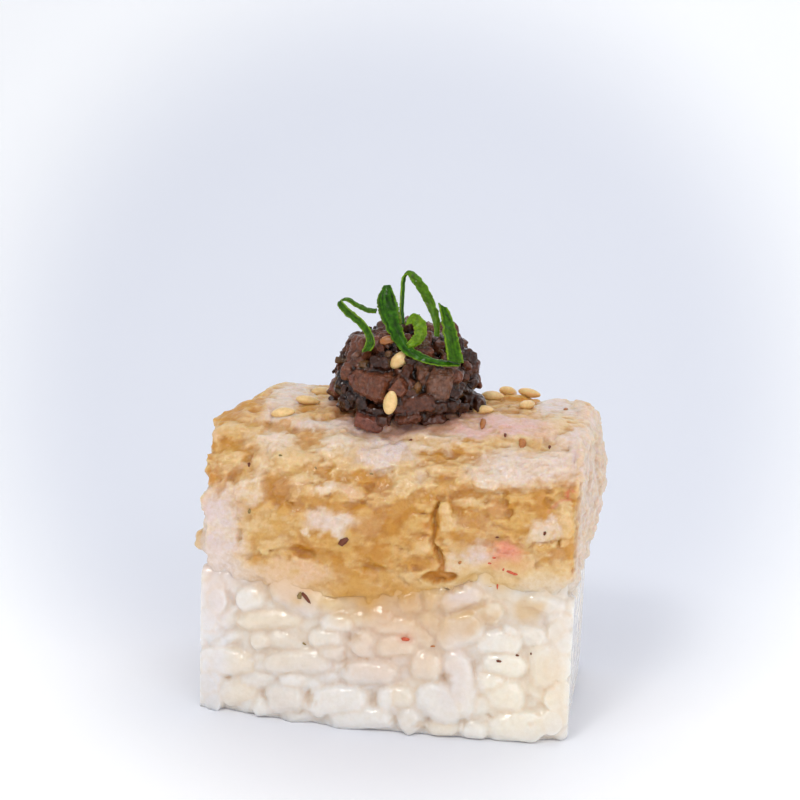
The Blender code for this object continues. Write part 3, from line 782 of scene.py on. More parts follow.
RICE_STAINS = (
    (17.5, 6.5, 12, 13, 0, 0.6, "butter"), (8.5, 14.8, 9, 5.5, 0, 0.5, "tan"), (20, 7.8, 5, 6, 0, 0.15, "straw"),
    (3.2, 11.9, 1.8, 1.4, 0, 0.6, "coral"), (12.3, 14.9, 5.5, 1.6, 32, 0.5, "tan"),
    (10.4, 15.9, 5.4, 1.2, 28, 0.7, "straw"), (17.7, 16.4, 3, 3.6, 0, 0.6, "straw"),
    (-2, 8, 12, 5, 0, 0.2, "lavender"), (-10.4, 15.7, 7, 3.6, -23, 0.5, "lavender"),
    (10, 8, 5, 7, 0, 0.3, "lavender"), (-21.4, 9, 4.6, 20, 0, 0.6, "frost"), (2, 10.8, 14, 8, 0, 0.4, "peach"),
    (-12, 11, 14, 8, 0, 0.2, "cream"),
)  # fmt: skip


def stain(tones, points, across, up, shown, stains):
    wander = [0.6 * noise_at(points, 1.6, k) + 0.3 * noise_at(points, 0.6, k + 3) for k in (20, 40)]
    for *patch, strength, name in stains:
        share = ellipse_share(across + wander[0], up + wander[1], patch, 0.5)
        tint(tones, linear(name), strength * share * shown)


def seam_sink(points):
    """Light sinks in less and less towards the seam, or the hidden part next to it would darken it."""
    return smoothstep(0.2, 2.8, np.abs(above_border(points)))


def seam_tones(points):
    """What the skin looks like at the seam, on the rice as well as on the layer above it."""
    across, up, deep = front_place(points)
    straw = (0.5 + 0.9 * noise_at(points, 2.2, 61) + 0.5 * noise_at(points, 0.8, 62)).clip(0, 1)
    tones = between("cream", "straw", straw)
    tint(tones, linear("pearl"), 0.85 * smoothstep(21.5, 23.0, across))
    stain(tones, points, across, up, on_front(deep, 4.0), SEAM_STAINS)
    return tones


def paint_rice():
    points = read_points(rice)
    across, up, deep = front_place(points)
    front = on_front(deep, 4.0)
    tones = rice_tones * (1 + 0.03 * noise_at(points, 2.5))[:, None]
    stain(tones, points, across, up, front, RICE_STAINS)
    stain(tones, points, across, up, 0.6 * front, SEAM_STAINS)
    reach = np.where(front > 0.5, 6.0 - 2.5 * smoothstep(4, 9, np.abs(across - 1.5)), 3.0)
    tint(tones, seam_tones(points), 0.95 * smoothstep(-1, 0, above_border(points) / reach))
    # Painted shade: the gaps that the press left are tinted tan, and the hollows and creases a warm starch tone.
    depth = smoothstep(0.1, 0.45, rice_push) * (0.8 + 0.4 * noise_at(points, 0.8, 30))
    tint(tones, linear("tan"), 0.65 * depth)
    tint(tones, linear("starch_shade"), 0.7 * np.clip(hollow_at(rice, 4) - 0.025, 0, 1) + 0.18 * rice_crease_shade)
    paint(rice, tones, seam_sink(points))


paint_rice()

# %% [markdown]
# ## How moist rice takes the light
# Light sinks into cooked rice and comes out again a few millimetres away, so edges glow and shadows fill. That
# is subsurface scattering, with a radius that is a little longer for red. A thin clear coat over it is the
# moisture. Two sizes of noise, as bump, make the skin faintly uneven. The coat takes only the coarser one,
# so that its shine breaks up into separate sparkles. The same recipe serves every piece, with other numbers.

# %% Materials for food
def mottled(tree, base, place, size, low, high):
    """Multiplies a colour by one of two tints, or something between them, in spots of a size in mm."""
    grain = {"Vector": place, "Scale": 1 / (size * MM), "Detail": 4.0, "Roughness": 0.65}
    spots = add_node(tree, "TexNoise", "Fac", grain)
    share = add_node(tree, "MapRange", "Result", {"Value": spots, "From Min": 0.36, "From Max": 0.62})
    tints = {"Factor": share, "A": (*low, 1), "B": (*high, 1)}
    spotted = add_node(tree, "Mix", "Result", tints, data_type="RGBA")
    return add_node(tree, "VectorMath", "Vector", {0: base, 1: spotted}, operation="MULTIPLY")


def bumped(tree, place, bumps):
    """A chain of bump nodes: size of the grain in mm, height in mm and strength for each."""
    normals = []
    for size, height, strength in bumps:
        spots = add_node(tree, "TexNoise", "Fac", {"Vector": place, "Scale": 1 / (size * MM), "Detail": 2.0})
        inputs = {"Height": spots, "Strength": strength, "Distance": height * MM}
        if normals:
            inputs["Normal"] = normals[-1]
        normals.append(add_node(tree, "Bump", "Normal", inputs))
    return normals


def food_material(name, mottle, bumps, settings, fades=False):
    """Reads the painted tones, mottles them and adds fine relief. Settings go on the surface's own sockets."""
    made, tree, surface = new_material(name)
    place = add_node(tree, "TexCoord", "Object", {})
    tone = tree.nodes.new("ShaderNodeVertexColor")
    tone.layer_name = "Tone"
    tree.links.new(mottled(tree, tone.outputs["Color"], place, *mottle), surface.inputs["Base Color"])
    normals = bumped(tree, place, bumps)
    tree.links.new(normals[-1], surface.inputs["Normal"])
    tree.links.new(normals[0], surface.inputs["Coat Normal"])
    for socket, value in settings.items():
        surface.inputs[socket].default_value = value
    if fades:
        factors = {0: tone.outputs["Alpha"], 1: settings["Subsurface Weight"]}
        weight = add_node(tree, "Math", "Value", factors, operation="MULTIPLY")
        tree.links.new(weight, surface.inputs["Subsurface Weight"])
    return made


def finish_piece(piece, material, node):
    """Gives a piece its material and its place in the frame."""
    piece.data.materials.clear()
    piece.data.materials.append(material)
    only(piece)
    bpy.ops.object.shade_smooth()
    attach(piece, "root")
    if node:
        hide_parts(node)
    print(piece.name, "triangles:", sum(len(p.vertices) - 2 for p in piece.data.polygons))


# %% [markdown]
# ## Finish the rice
# The mottle is a size in mm and the two tints it goes between. Each bump is a size, a height and a strength.
# Every other number sits on the surface's own socket.

# %% Give the rice its material
RICE_MOTTLE = (0.9, (0.97, 0.955, 0.93), (1.02, 1.02, 1.02))
RICE_BUMPS = ((1.0, 0.12, 0.7), (0.3, 0.06, 0.6))
RICE_SURFACE = {
    "Roughness": 0.46, "Subsurface Weight": 0.9, "Subsurface Radius": (1.0, 0.85, 0.7), "Subsurface Scale": 0.0027,
    "Coat Weight": 0.8, "Coat Roughness": 0.07, "IOR": 1.38,
}  # fmt: skip
moist_rice = food_material("moist rice", RICE_MOTTLE, RICE_BUMPS, RICE_SURFACE, fades=True)
finish_piece(rice, moist_rice, "rice")

# %% [markdown]
# ## The tempura layer: its plain form
# Prawns in batter were pressed into one layer about 20 mm thick. It starts as a box with many faces, whose
# edges are then rounded in code, because its front edge has a far larger round than the others. The prawn
# that hangs out of the right side is a soft swelling.

# %% Shape the layer's block
BULGE, BULGE_MIDDLE, BULGE_SPREAD = 2.4, (5.0, 28.8), (10.0, 8.0)  # the last two along and up the right side
LAYER_CUTS = 26


def round_edge(points, axes, centre, outward):
    """Brings what stands in a square corner between two axes back to a round about its centre."""
    a = (points[:, axes[0]] - centre[0]) * outward[0]
    b = (points[:, axes[1]] - centre[1]) * outward[1]
    near = (a > 0) & (b > 0)
    scale = np.maximum(a[near], b[near]) / np.hypot(a[near], b[near])
    points[near, axes[0]] = centre[0] + outward[0] * a[near] * scale
    points[near, axes[1]] = centre[1] + outward[1] * b[near] * scale


def shape_layer(points):
    for outward, radius in ((-1, FRONT_ROUND), (1, BACK_ROUND)):
        round_edge(points, (1, 2), (outward * (DEPTH / 2 - radius), HEIGHT - radius), (outward, 1))
    for outward in (-1, 1):
        round_edge(points, (0, 2), (outward * (WIDTH / 2 - SIDE_ROUND), HEIGHT - SIDE_ROUND), (outward, 1))
        for other in (-1, 1):
            corner = (outward * (WIDTH / 2 - CORNER_ROUND), other * (DEPTH / 2 - CORNER_ROUND))
            round_edge(points, (0, 1), corner, (outward, other))
    along, up = ((points[:, 1:] - BULGE_MIDDLE) / BULGE_SPREAD).T
    right = smoothstep(WIDTH / 2 - SIDE_ROUND - 2, WIDTH / 2 - SIDE_ROUND, points[:, 0])
    points[:, 0] += right * BULGE * np.exp(-along * along - up * up)
    return slump(points)


def model_layer_block():
    low, high = (-WIDTH / 2, -DEPTH / 2, SEAM), (WIDTH / 2, DEPTH / 2, HEIGHT)
    block = model_core("layer_block", low, high, LAYER_CUTS)
    points = read_points(block)
    under = points[:, 2] < SEAM + 0.01
    points = shape_layer(points)
    points[under, 2] = seam_height(points[under])
    write_points(block, points)
    return block


layer_block = model_layer_block()
print("layer block:", len(layer_block.data.polygons), "faces")

# %% [markdown]
# ## Prawn and batter on the front
# What shows on the front is a patchwork: smooth pale pieces of prawn, cream lumps of batter and golden
# hollows where the batter browned. Each patch has its place across and up the front, its length, width and
# turn, how far it stands out or, below zero, lies in, and its tone. The large ones at the start of the list
# are grounds that the later ones are painted over.

# %% List the patches
PATCHES = (
    (-8.5, 25, 24, 11, 4, 0, "gold"), (12.5, 26, 18, 9, 0, 0, "honey"), (-4, 32.5, 26, 6, 3, 0, "straw"),
    (8, 36.5, 16, 3, 3, 0, "straw"), (-20.9, 21, 14, 6, 89, 0, "prawn"), (20.3, 20.3, 7.5, 7, 0, 0, "cream"),
    (20.5, 47, 22, 6.5, 89, 0, "prawn"), (10.5, 41.2, 14, 7, 5, 0, "pink"), (0.8, 33.7, 8.5, 3.4, -28, 0, "prawn"),
    (-2, 38.8, 13, 4, 0, 0, "lavender"), (13.1, 27.5, 9.3, 6.3, 4, 0, "honey"),
    (6.8, 33.3, 7.5, 3.1, 3, -0.1, "straw"), (0.3, 28.8, 5.4, 4.4, -81, -0.1, "gold"),
    (-14.1, 24, 7, 4.4, 7, 0.1, "cream"), (-5.7, 21.9, 6.2, 2.4, 5, -0.1, "gold"),
    (0.9, 21.5, 4.9, 2.7, 6, 0, "gold"), (-1.1, 25, 4.9, 2.9, 5, -0.1, "gold"),
    (-18.5, 18.1, 6.7, 3, 9, 0.1, "cream"), (-11.2, 18.8, 8.4, 3.4, 8, 0.3, "peach"),
    (3.2, 18.3, 4.6, 2.4, 5, -0.2, "ochre"), (10.1, 29.3, 4.8, 1.9, 4, 0, "straw"),
    (-20.7, 41.3, 11.8, 5.7, -72, 0.5, "gold"), (-21.1, 56, 13.6, 6, -81, 0.4, "straw"),
    (-15.9, 45.4, 25.1, 4.3, -85, 0.5, "prawn"), (-11.4, 42.5, 3.5, 2.5, -72, -0.3, "ochre"),
    (-8.8, 43, 11.9, 3.2, -77, 0, "peach"), (-13.5, 37.2, 6.7, 1.4, -2, -0.3, "ochre"),
    (-19.8, 36.5, 5.1, 2, 5, 0.2, "cream"), (-19, 34.5, 2.1, 1.5, 50, -0.5, "ochre"),
    (-15.4, 35, 6.4, 1.9, 4, 0.3, "pearl"), (-22.2, 34.4, 2.5, 1.2, -75, 0.2, "peach"),
    (-19.9, 32.1, 4.2, 2.3, 2, 0.3, "cream"), (-21.6, 29.7, 2.6, 2.2, 1, 0.2, "gold"),
    (-19.1, 30.3, 6.7, 1, 53, -0.8, "ochre"), (-16, 32.2, 2.8, 2, -74, 0.5, "pearl"),
    (-17.8, 31.4, 1.8, 1.5, -7, 0.1, "peach"), (-16.8, 28.7, 3.5, 3.1, 0, 0.6, "pearl"),
    (-20.8, 23.3, 8.3, 4.4, 89, 0.4, "lavender"), (-13.5, 28.8, 3.8, 3.2, -81, -0.4, "ochre"),
    (-12.4, 32, 5, 3, 2, 0.1, "cream"), (-7.3, 32.1, 1.6, 1.4, -46, -0.2, "ochre"),
    (-5, 32.8, 6.1, 1.5, 4, 0.1, "cream"), (-1.2, 34.3, 5.2, 3.6, 0, 0.3, "lavender"),
    (-7.1, 35.1, 5.6, 2.6, 3, 0.2, "pearl"), (-9.5, 38, 5.7, 2, 3, 0.1, "lavender"),
    (-10.6, 35.7, 2.3, 1.5, -1, -0.2, "ochre"), (-7.4, 29.4, 2.5, 1, 4, 0.4, "pearl"),
    (-4.1, 29.2, 3.5, 1.3, -4, 0.2, "peach"), (-3.6, 27.8, 2.9, 0.9, 4, -0.6, "ochre"),
    (-6.3, 25.7, 5.4, 2.4, 6, 0.3, "prawn"), (-9.6, 24.2, 1.1, 0.9, 8, 0.5, "pearl"),
    (-5.7, 24.5, 1.2, 1.1, 12, 0.5, "pearl"), (-9.4, 21.4, 3.1, 0.9, -7, -0.6, "ochre"),
    (-1.6, 20.3, 4.3, 1, -3, -0.6, "ochre"), (12.1, 49.4, 14.3, 4.9, -86, -0.2, "gold"),
    (17.6, 52.7, 8.2, 3.2, -89, 0.2, "lavender"), (19.7, 42.7, 5.9, 4.6, 85, 0.2, "straw"),
    (11.2, 40, 12.7, 5.2, 5, 0.2, "pink"), (14.7, 37, 8.5, 2, 3, 0, "cream"),
    (5.5, 36.6, 7.3, 2.3, 10, 0.2, "pearl"), (9.1, 36.8, 2.7, 0.8, -11, -0.3, "ochre"),
    (5.2, 34.9, 1.9, 0.6, 13, -0.3, "ochre"), (16.3, 33.5, 11.4, 4.3, 3, 0.7, "prawn"),
    (12.8, 31.6, 4.4, 2, 3, 0.6, "pearl"), (1.9, 31.9, 3.7, 2.4, -80, 0.2, "cream"),
    (19.8, 30.7, 4.6, 2.5, 3, -0.1, "gold"), (21.2, 30, 3.8, 0.5, 42, -0.2, "red"),
    (21.9, 28.6, 3, 2.6, 0, 0.2, "cream"), (19.9, 27.5, 1.4, 1.2, 1, 0, "lavender"),
    (19.2, 26.1, 3.1, 2, 2, 0.5, "pearl"), (19.4, 24.9, 2.9, 0.4, 11, -0.7, "ochre"),
    (19.4, 24.2, 2.3, 1.1, 3, 0.4, "cream"), (14.7, 22.3, 4.2, 3.8, -19, 0.1, "coral"),
    (11.5, 22.7, 3.1, 2.6, 6, 0.4, "lavender"), (8.7, 21.1, 3.6, 2.6, 6, 0.5, "pearl"),
    (7.5, 26.6, 4.5, 1.6, -87, 0.4, "cream"), (4.8, 23.5, 2.9, 2.4, 8, 0.5, "cream"),
    (4.7, 24.9, 2.7, 0.6, 4, -0.5, "ochre"), (22.6, 36.7, 8, 2, -86, 0.3, "lavender"),
    (22.5, 24.2, 6.1, 2.3, -87, 0.1, "straw"), (19.8, 22.9, 2.8, 2.1, 2, 0.1, "straw"),
    (21.2, 20.9, 4.7, 2.1, 2, 0.2, "cream"), (13.9, 19.7, 3, 2.2, 4, 0, "gold"),
    (16.3, 18.7, 4.1, 3, 4, 0.1, "straw"), (18, 17.3, 2, 1.4, -87, -0.2, "ochre"),
    (6, 17, 3.3, 2.4, -89, 0.2, "peach"), (3.5, 16, 2.9, 2.7, 15, 0.4, "peach"),
    (6.4, 30.6, 4.1, 1.7, 3, 0.2, "cream"), (22.8, 26.5, 15, 0.6, 89, -0.2, "gold"),
    (-22.3, 21.5, 10, 2.6, 89, 0.3, "lavender"),
)  # fmt: skip
print("patches:", len(PATCHES))

# %% [markdown]
# ## The crack and the cave
# The pressed front is broken by a crack that winds down to a small hollow at its foot. The crack is a line of
# points with a width at each, and the hollow is one more ellipse.

# %% Draw the crack
CRACK = (  # across, up, half its width
    (6.4, 28.6, 0.12), (5.9, 27.3, 0.3), (6.2, 25.9, 0.26), (5.9, 23.9, 0.26), (6.8, 22.4, 0.4), (7.4, 21.2, 0.3),
    (6.9, 20.2, 0.5),
)  # fmt: skip
CRACK_BRANCH = ((4.3, 27.2, 0.1), (5.9, 27.3, 0.25))
CAVE = (7.1, 19.7, 4.2, 1.5, 4)  # across, up, length, width, turn
CRACK_DEPTH, BRANCH_DEPTH, CAVE_DEPTH = 1.0, 0.5, 1.5
print("crack from", CRACK[0][1], "to", CRACK[-1][1], "mm up the front")

# %% [markdown]
# ## Lumps of batter
# One knocked-about lump is modelled: a cube, cut once, pulled halfway to a ball. Copies of it lie all over
# the layer, large and flat ones first and crumbs last. On the front the patches that stand out are lumps
# too, so that their edges cast small shadows. Crumbs along the seam hide the straight edge of the rice.

# %% Lay the batter lumps
SIDE_CRUMBS = (((-23.0, -12.0, 22.0), 1.7, "lavender"), ((-22.6, -12.4, 21.2), 2.0, "pearl"))  # place, size, tone
SEAM_CRUMBS = 80  # how many
LUMP_SIZES = ((420, 2.0, 3.8, 0.5), (900, 1.0, 2.0, 0.6), (500, 0.5, 1.0, 0.7))  # count, size from, to, thickness


def model_lump(name, knock, seed):
    lump = start(name, bpy.ops.mesh.primitive_cube_add, size=1)
    with editing(lump):
        bpy.ops.mesh.subdivide(number_cuts=1)
        bpy.ops.transform.tosphere(value=0.55)
        bpy.ops.transform.vertex_random(offset=knock, uniform=0.5, seed=seed)
    return lump


def scatter_on(block, count, low, seed):
    """Random spots on a mesh's faces above a height, spread by area, with the way out of the face."""
    draw = random.Random(seed)
    faces = [p for p in block.data.polygons if p.center.z / MM > low(p.center / MM) and p.normal.z > -0.3]
    spots = []
    for face in draw.choices(faces, [p.area for p in faces], k=count):
        corners = [block.data.vertices[i].co for i in face.vertices]
        u, v = draw.random(), draw.random()
        spot = corners[0].lerp(corners[1], u).lerp(corners[3].lerp(corners[2], u), v)
        spots.append((spot / MM, face.normal.copy()))
    return spots


def batter_tone(spot, draw):
    """Gold, cream or pale prawn, in patches a few millimetres wide."""
    patch = noise.noise(spot / 6.5) + 0.5 * noise.noise(spot / 2.4) + draw.uniform(-0.2, 0.2)
    pink = noise.noise(spot / 9 + Vector((4, 4, 4)))
    if patch > 0.22:
        return linear("lavender" if pink > 0.1 else "pearl")
    if patch > -0.05:
        return linear("cream")
    return linear("gold" if patch > -0.3 else "ochre")


def lay_batter(model):
    draw = random.Random(12)
    lumps = []
    for number, (count, small, large, flat) in enumerate(LUMP_SIZES):
        low = lambda place: seam_height(np.array([place]))[0] + 0.45 * small
        for spot, normal in scatter_on(layer_block, count, low, 30 + number):
            size = draw.uniform(small, large)
            sunk = spot - normal * size * flat * draw.uniform(0.28, 0.52)
            along = (0, 1, 0) if abs(normal.x) > 0.7 else (1, 0, 0)
            shape = (size * draw.uniform(0.9, 1.5), size * draw.uniform(0.6, 1.0), size * flat)
            lumps.append(lay(model, sunk, normal, along, draw.uniform(-50, 50), shape, batter_tone(spot, draw)))
    return lumps


def lay_patches(model):
    """Slabs for the patches that stand out. Each is bent to follow the round of the front."""
    lumps = []
    for across, up, length, width, turn, out, name in PATCHES:
        if out > 0.05:
            lump = copy_lump(model, Matrix(), linear(name))
            shape = read_points(lump) * MM * (length * 1.02, width * 1.05, 1.8)
            cos, sin = math.cos(math.radians(turn)), math.sin(math.radians(turn))
            for n, (u, v, w) in enumerate(shape):
                x, s = across + u * cos - v * sin, up + u * sin + v * cos
                spot, normal = front_point(min(max(x, -22.6), 22.8), min(s, 60))
                shape[n] = spot + normal * (w + out * 0.8 - 0.9)
            write_points(lump, shape)
            lumps.append(lump)
    return lumps


def lay_side_crumbs(model):
    """Two crumbs that stand out at the left, as they show in the outline."""
    return [
        lay(model, place, (0, -1, 0), (1, 0, 0), 20, (size * 1.6, size * 0.7, size), linear(name))
        for place, size, name in SIDE_CRUMBS
    ]


def lay_seam_crumbs(model):
    """Crumbs of batter that were pressed down over the edge of the rice, so that no straight line shows."""
    draw = random.Random(21)
    lumps = []
    for number in range(SEAM_CRUMBS):
        place = draw.uniform(-DEPTH / 2, DEPTH / 2), draw.uniform(-WIDTH / 2, WIDTH / 2)
        size = draw.uniform(0.5, 1.4)
        drop = draw.uniform(-1.2, 1.2) * (1.8 if number % 4 == 0 and abs(place[1]) < 8 else 1.0)
        if number % 3 == 0:
            side = 1 if number % 2 else -1
            spot, normal, along = Vector((side * WIDTH / 2, place[0], 0)), Vector((side, 0, 0)), (0, 1, 0)
        else:
            side = 1 if number % 5 == 1 else -1
            spot, normal, along = Vector((place[1], side * DEPTH / 2, 0)), Vector((0, side, 0)), (1, 0, 0)
        spot.z = seam_height(np.array([spot]))[0] + drop
        spot = Vector(slump(np.array([spot]))[0]) - normal * (size * 0.35 + 0.05)
        shape = (size * draw.uniform(1.0, 1.6), size, size * 0.7)
        turn, name = draw.uniform(-60, 60), draw.choice(("gold", "straw", "cream", "peach"))
        lumps.append(lay(model, spot, normal, along, turn, shape, linear(name)))
    return lumps


lump_model = model_lump("batter_lump", 0.06, 3)
layer_lumps = lay_batter(lump_model) + lay_patches(lump_model) + lay_seam_crumbs(lump_model)
layer_lumps += lay_side_crumbs(lump_model)
print("batter lumps:", len(layer_lumps))

# %% [markdown]
# ## Press the layer and break its front
# The block is drawn in a little, so that the lumps stand out of it, and all is melted into one skin. Then the
# skin is worked as one would with a sculpting brush: noise roughens it, the hollows are pushed in, and a
# jagged crack is drawn down the front to the small cave at its foot. Two tones are looked up for each point,
# a browned and a pale one. Where the pale one shows, the skin is also raised, because flakes of batter are.

# %% Look up the patches
LAYER_VOXEL, LAYER_SMOOTHING = 0.29, 1
WIDER, TALLER = 1.1, 1.15  # a patch's tone reaches a little past the list's length and width
SMOOTH_TONES = ("lavender", "pearl", "prawn", "pink")  # prawn, which shows no crumbs
PATCH_LOOKS = {  # the browned and the pale tone of a patch, and which of them shows more
    "ochre": ("ochre", "gold", -0.2), "gold": ("gold", "straw", -0.16), "honey": ("gold", "straw", -0.04),
    "straw": ("gold", "cream", 0), "cream": ("straw", "cream", 0.15), "pearl": ("cream", "pearl", 0.15),
    "lavender": ("pearl", "lavender", 0.12), "prawn": ("pearl", "prawn", 0.2), "peach": ("straw", "peach", 0.15),
    "coral": ("coral", "coral", 0.25), "red": ("gold", "red", 0.2), "pink": ("peach", "pink", 0.25),
}  # fmt: skip


def line_distance(across, up, line):
    """Distance to a line of points, less the line's half width at the nearest place."""
    best = np.full(len(across), 99.0)
    for (x1, s1, w1), (x2, s2, w2) in zip(line, line[1:]):
        length2 = (x2 - x1) ** 2 + (s2 - s1) ** 2
        t = np.clip(((across - x1) * (x2 - x1) + (up - s1) * (s2 - s1)) / length2, 0, 1)
        gap = np.hypot(across - x1 - t * (x2 - x1), up - s1 - t * (s2 - s1)) - (w1 + t * (w2 - w1))
        best = np.minimum(best, gap)
    return best


def batter_look(points):
    """The browned and the pale tone of each point, and which of them shows there, from 0 to 1."""
    across, up, deep = front_place(points)
    front = on_front(deep, 3.6) * smoothstep(23.8, 23.1, np.abs(across)) * (up > 10)
    waves = ((0.8, 2.0, 0), (0.6, 0.8, 2), (0.3, 0.35, 4))  # how strong, size in mm, shift
    wander = [sum(far * noise_at(points, size, k + shift) for far, size, shift in waves) for k in (20, 40)]
    broad = noise_at(points, 6.0, 1)
    low = between("gold", "straw", np.clip(0.2 + broad, 0, 1))
    high = between("straw", "cream", np.clip(0.7 + broad, 0, 1))
    lean = 0.3 * noise_at(points, 5.0, 70) - 0.05
    for x, s, length, width, turn, _, name in PATCHES:
        patch = (x, s, length * WIDER, width * TALLER, turn)
        share = 0.85 * front * ellipse_share(across + wander[0], up + wander[1], patch, 0.45)
        browned, pale, bias = PATCH_LOOKS[name]
        tint(low, linear(browned), share)
        tint(high, linear(pale), share)
        lean += share * (bias - lean)
    side = 0.95 * smoothstep(22.6, 23.3, points[:, 0])
    tint(low, linear("pearl"), side)
    tint(high, linear("prawn"), side)
    wide = points * (0.6, 1, 1.1)
    flakes = 0.6 * noise_at(wide, 2.2, 15) + 0.4 * noise_at(wide, 0.9, 16) + 0.22 * noise_at(wide, 0.4, 17)
    return low, high, smoothstep(-0.2, 0.2, flakes + lean)


def crumble(points, size, shift):
    """Domes with creases between them, like crumbs packed together: 1 on a dome, 0 in a crease."""
    places = (points / size + shift).tolist()
    return np.array([noise.noise(place, noise_basis="VORONOI_F2F1") for place in places])


# %% Sculpt the layer
WORN = 1.9  # mm, what is worn off the back left top corner


def melt_layer():
    points, normals = read_points(layer_block), read_normals(layer_block)
    points -= np.where(normals[:, 2:] < -0.5, 0, normals * 0.3)
    write_points(layer_block, points)
    paint(layer_block, np.tile(linear("gold"), (len(points), 1)))
    return melt([layer_block] + layer_lumps, "tempura_layer", LAYER_VOXEL * VOXEL_FACTOR, LAYER_SMOOTHING)


def press_layer(points):
    """Presses the front flat, tucks the foot under and wears one corner down."""
    tuck = TUCK * np.clip(0.6 - above_border(points), 0, 4)
    plain = unslump(points)
    plain[:, 1] = np.where(plain[:, 1] < 0, press(plain[:, 1], DEPTH / 2 + 0.3, 0.4), plain[:, 1])
    plain[:, 0] = tuck_in(plain[:, 0], WIDTH / 2, tuck)
    plain[:, 1] = tuck_in(plain[:, 1], DEPTH / 2, tuck)
    worn = smoothstep(-19.0, -23.5, plain[:, 0]) * smoothstep(27, 36, plain[:, 2]) * smoothstep(-13, 1, plain[:, 1])
    plain[:, 2] -= WORN * worn * (1 + 0.3 * noise_at(points, 3.0, 90))
    return slump(plain)


def break_front(points, normals):
    """Pushes in the hollows, the crack with its branch and the cave. Says how far each point went."""
    across, up, deep = front_place(points)
    wander = 0.35 * noise_at(points, 1.1, 60), 0.35 * noise_at(points, 1.1, 80)
    shown = on_front(deep, 3.5) * (normals[:, 2] > -0.6)
    push = np.zeros(len(points))
    for *patch, out, _ in PATCHES:
        if out < 0:
            share = ellipse_share(across + wander[0], up + wander[1], patch, 0.7)
            push = np.maximum(push, -0.6 * out * share)
    for line, depth in ((CRACK, CRACK_DEPTH), (CRACK_BRANCH, BRANCH_DEPTH)):
        gap = line_distance(across + 0.6 * wander[0], up + 0.6 * wander[1], line)
        push = np.maximum(push, depth * (1 - smoothstep(-0.2, 0.2, gap)))
    cave = ellipse_share(across + 2 * wander[0], up + wander[1], CAVE, 0.3)
    push = np.maximum(push, CAVE_DEPTH * cave) * shown
    points[:, 1] += push * np.where(up < 34, 1, 0.6)
    points[:, 2] -= push * np.where(up < 34, 0, 0.6)
    return push


def make_layer():
    layer, tones, owners = melt_layer()
    crease = crease_at(layer, owners, 1)
    points, normals = read_points(layer), read_normals(layer)
    across, up, _ = front_place(points)
    crumbly = 0.25 + 0.75 * smoothstep(-0.2, 0.5, noise_at(points, 5.0, 70))
    for x, s, length, width, turn, _, name in PATCHES:
        if name in SMOOTH_TONES:
            crumbly *= 1 - 0.85 * ellipse_share(across, up, (x, s, length * WIDER, width * WIDER, turn), 0.4)
    rough = 0.14 * noise_at(points, 2.6, 5) + 0.3 * batter_look(points)[2] - 0.15
    rough += crumbly * (0.05 * crumble(points, 0.9, 6) - 0.03 - 0.1 * crease)
    rough += 0.3 * noise_at(points, 1.8, 33) * smoothstep(22.3, 23.2, np.abs(points[:, 0]))
    points = press_layer(points + normals * rough[:, None])
    push = break_front(points, normals)
    write_points(layer, points)
    return layer, tones, push, crease * crumbly


layer, layer_tones, layer_push, layer_crease_shade = make_layer()
layer_tree = skin_tree(layer)

# %% [markdown]
# ## Paint the layer
# The lumps bring their own tones. On the front the patches are painted over them, with ragged borders: the
# place at which a patch is looked up wanders a little from point to point. Hollows and creases are painted
# browner, as shade, and what stands out is painted paler, as where light falls.

# %% Paint the layer
LAYER_MOTTLE = (0.6, (0.96, 0.9, 0.8), (1.03, 1.04, 1.06))
LAYER_BUMPS = ((0.7, 0.18, 0.8), (0.3, 0.1, 0.8))
LAYER_SURFACE = {
    "Roughness": 0.45, "Subsurface Weight": 0.8, "Subsurface Radius": (1.0, 0.6, 0.3), "Subsurface Scale": 0.0016,
    "Coat Weight": 0.4, "Coat Roughness": 0.1, "IOR": 1.38,
}  # fmt: skip


def paint_layer():
    points = read_points(layer)
    fine, middle = (hollow_at(layer, steps) for steps in (3, 12))
    low, high, pick = batter_look(points)
    tones = low + pick[:, None] * (high - low)
    tones *= (1 + 0.08 * noise_at(points, 0.5, 12))[:, None]
    tones += 0.12 * (layer_tones - tones)
    # Painted shade: hollows and creases are tinted browner. Painted light: what stands out is tinted paler.
    sunken = 1.6 * middle + 1.4 * fine
    tint(tones, tones * linear("gold") / linear("cream"), 0.6 * np.clip(sunken - 0.08, 0, 1))
    tint(tones, linear("cream"), 0.4 * np.clip(-sunken - 0.1, 0, 1))
    tint(tones, tones * linear("gold") / linear("cream"), 0.3 * layer_crease_shade)
    tint(tones, seam_tones(points), 0.95 * smoothstep(3.0, 0.2, above_border(points)))
    tint(tones, linear("amber"), 0.9 * smoothstep(0.4, 0.8, layer_push))
    # Painted shadow together with real juice: the layer goes red-brown in a ring around the mound's foot.
    around = np.hypot(points[:, 0] + 0.5, points[:, 1] + 0.5) * (1 + 0.1 * noise_at(points, 1.5, 95))
    tint(tones, linear("juice_and_shadow"), 0.6 * smoothstep(11.2, 8.8, around) * (points[:, 2] > 34))
    paint(layer, tones, seam_sink(points))


paint_layer()
pressed_tempura = food_material("pressed tempura", LAYER_MOTTLE, LAYER_BUMPS, LAYER_SURFACE, fades=True)
finish_piece(layer, pressed_tempura, "shrimp_tempura")

# %% [markdown]
# ## Chopped mushroom
# The topping is mushroom simmered dark in soy and chopped: flat chunks with clean cut faces between ragged
# crumbs. Three chunks are modelled: bevelled cubes that narrow to one side and are knocked out of true. The
# chunks seen from the front are placed one by one, and the rest cover the mound by rule, spread like seeds in
# a sunflower.

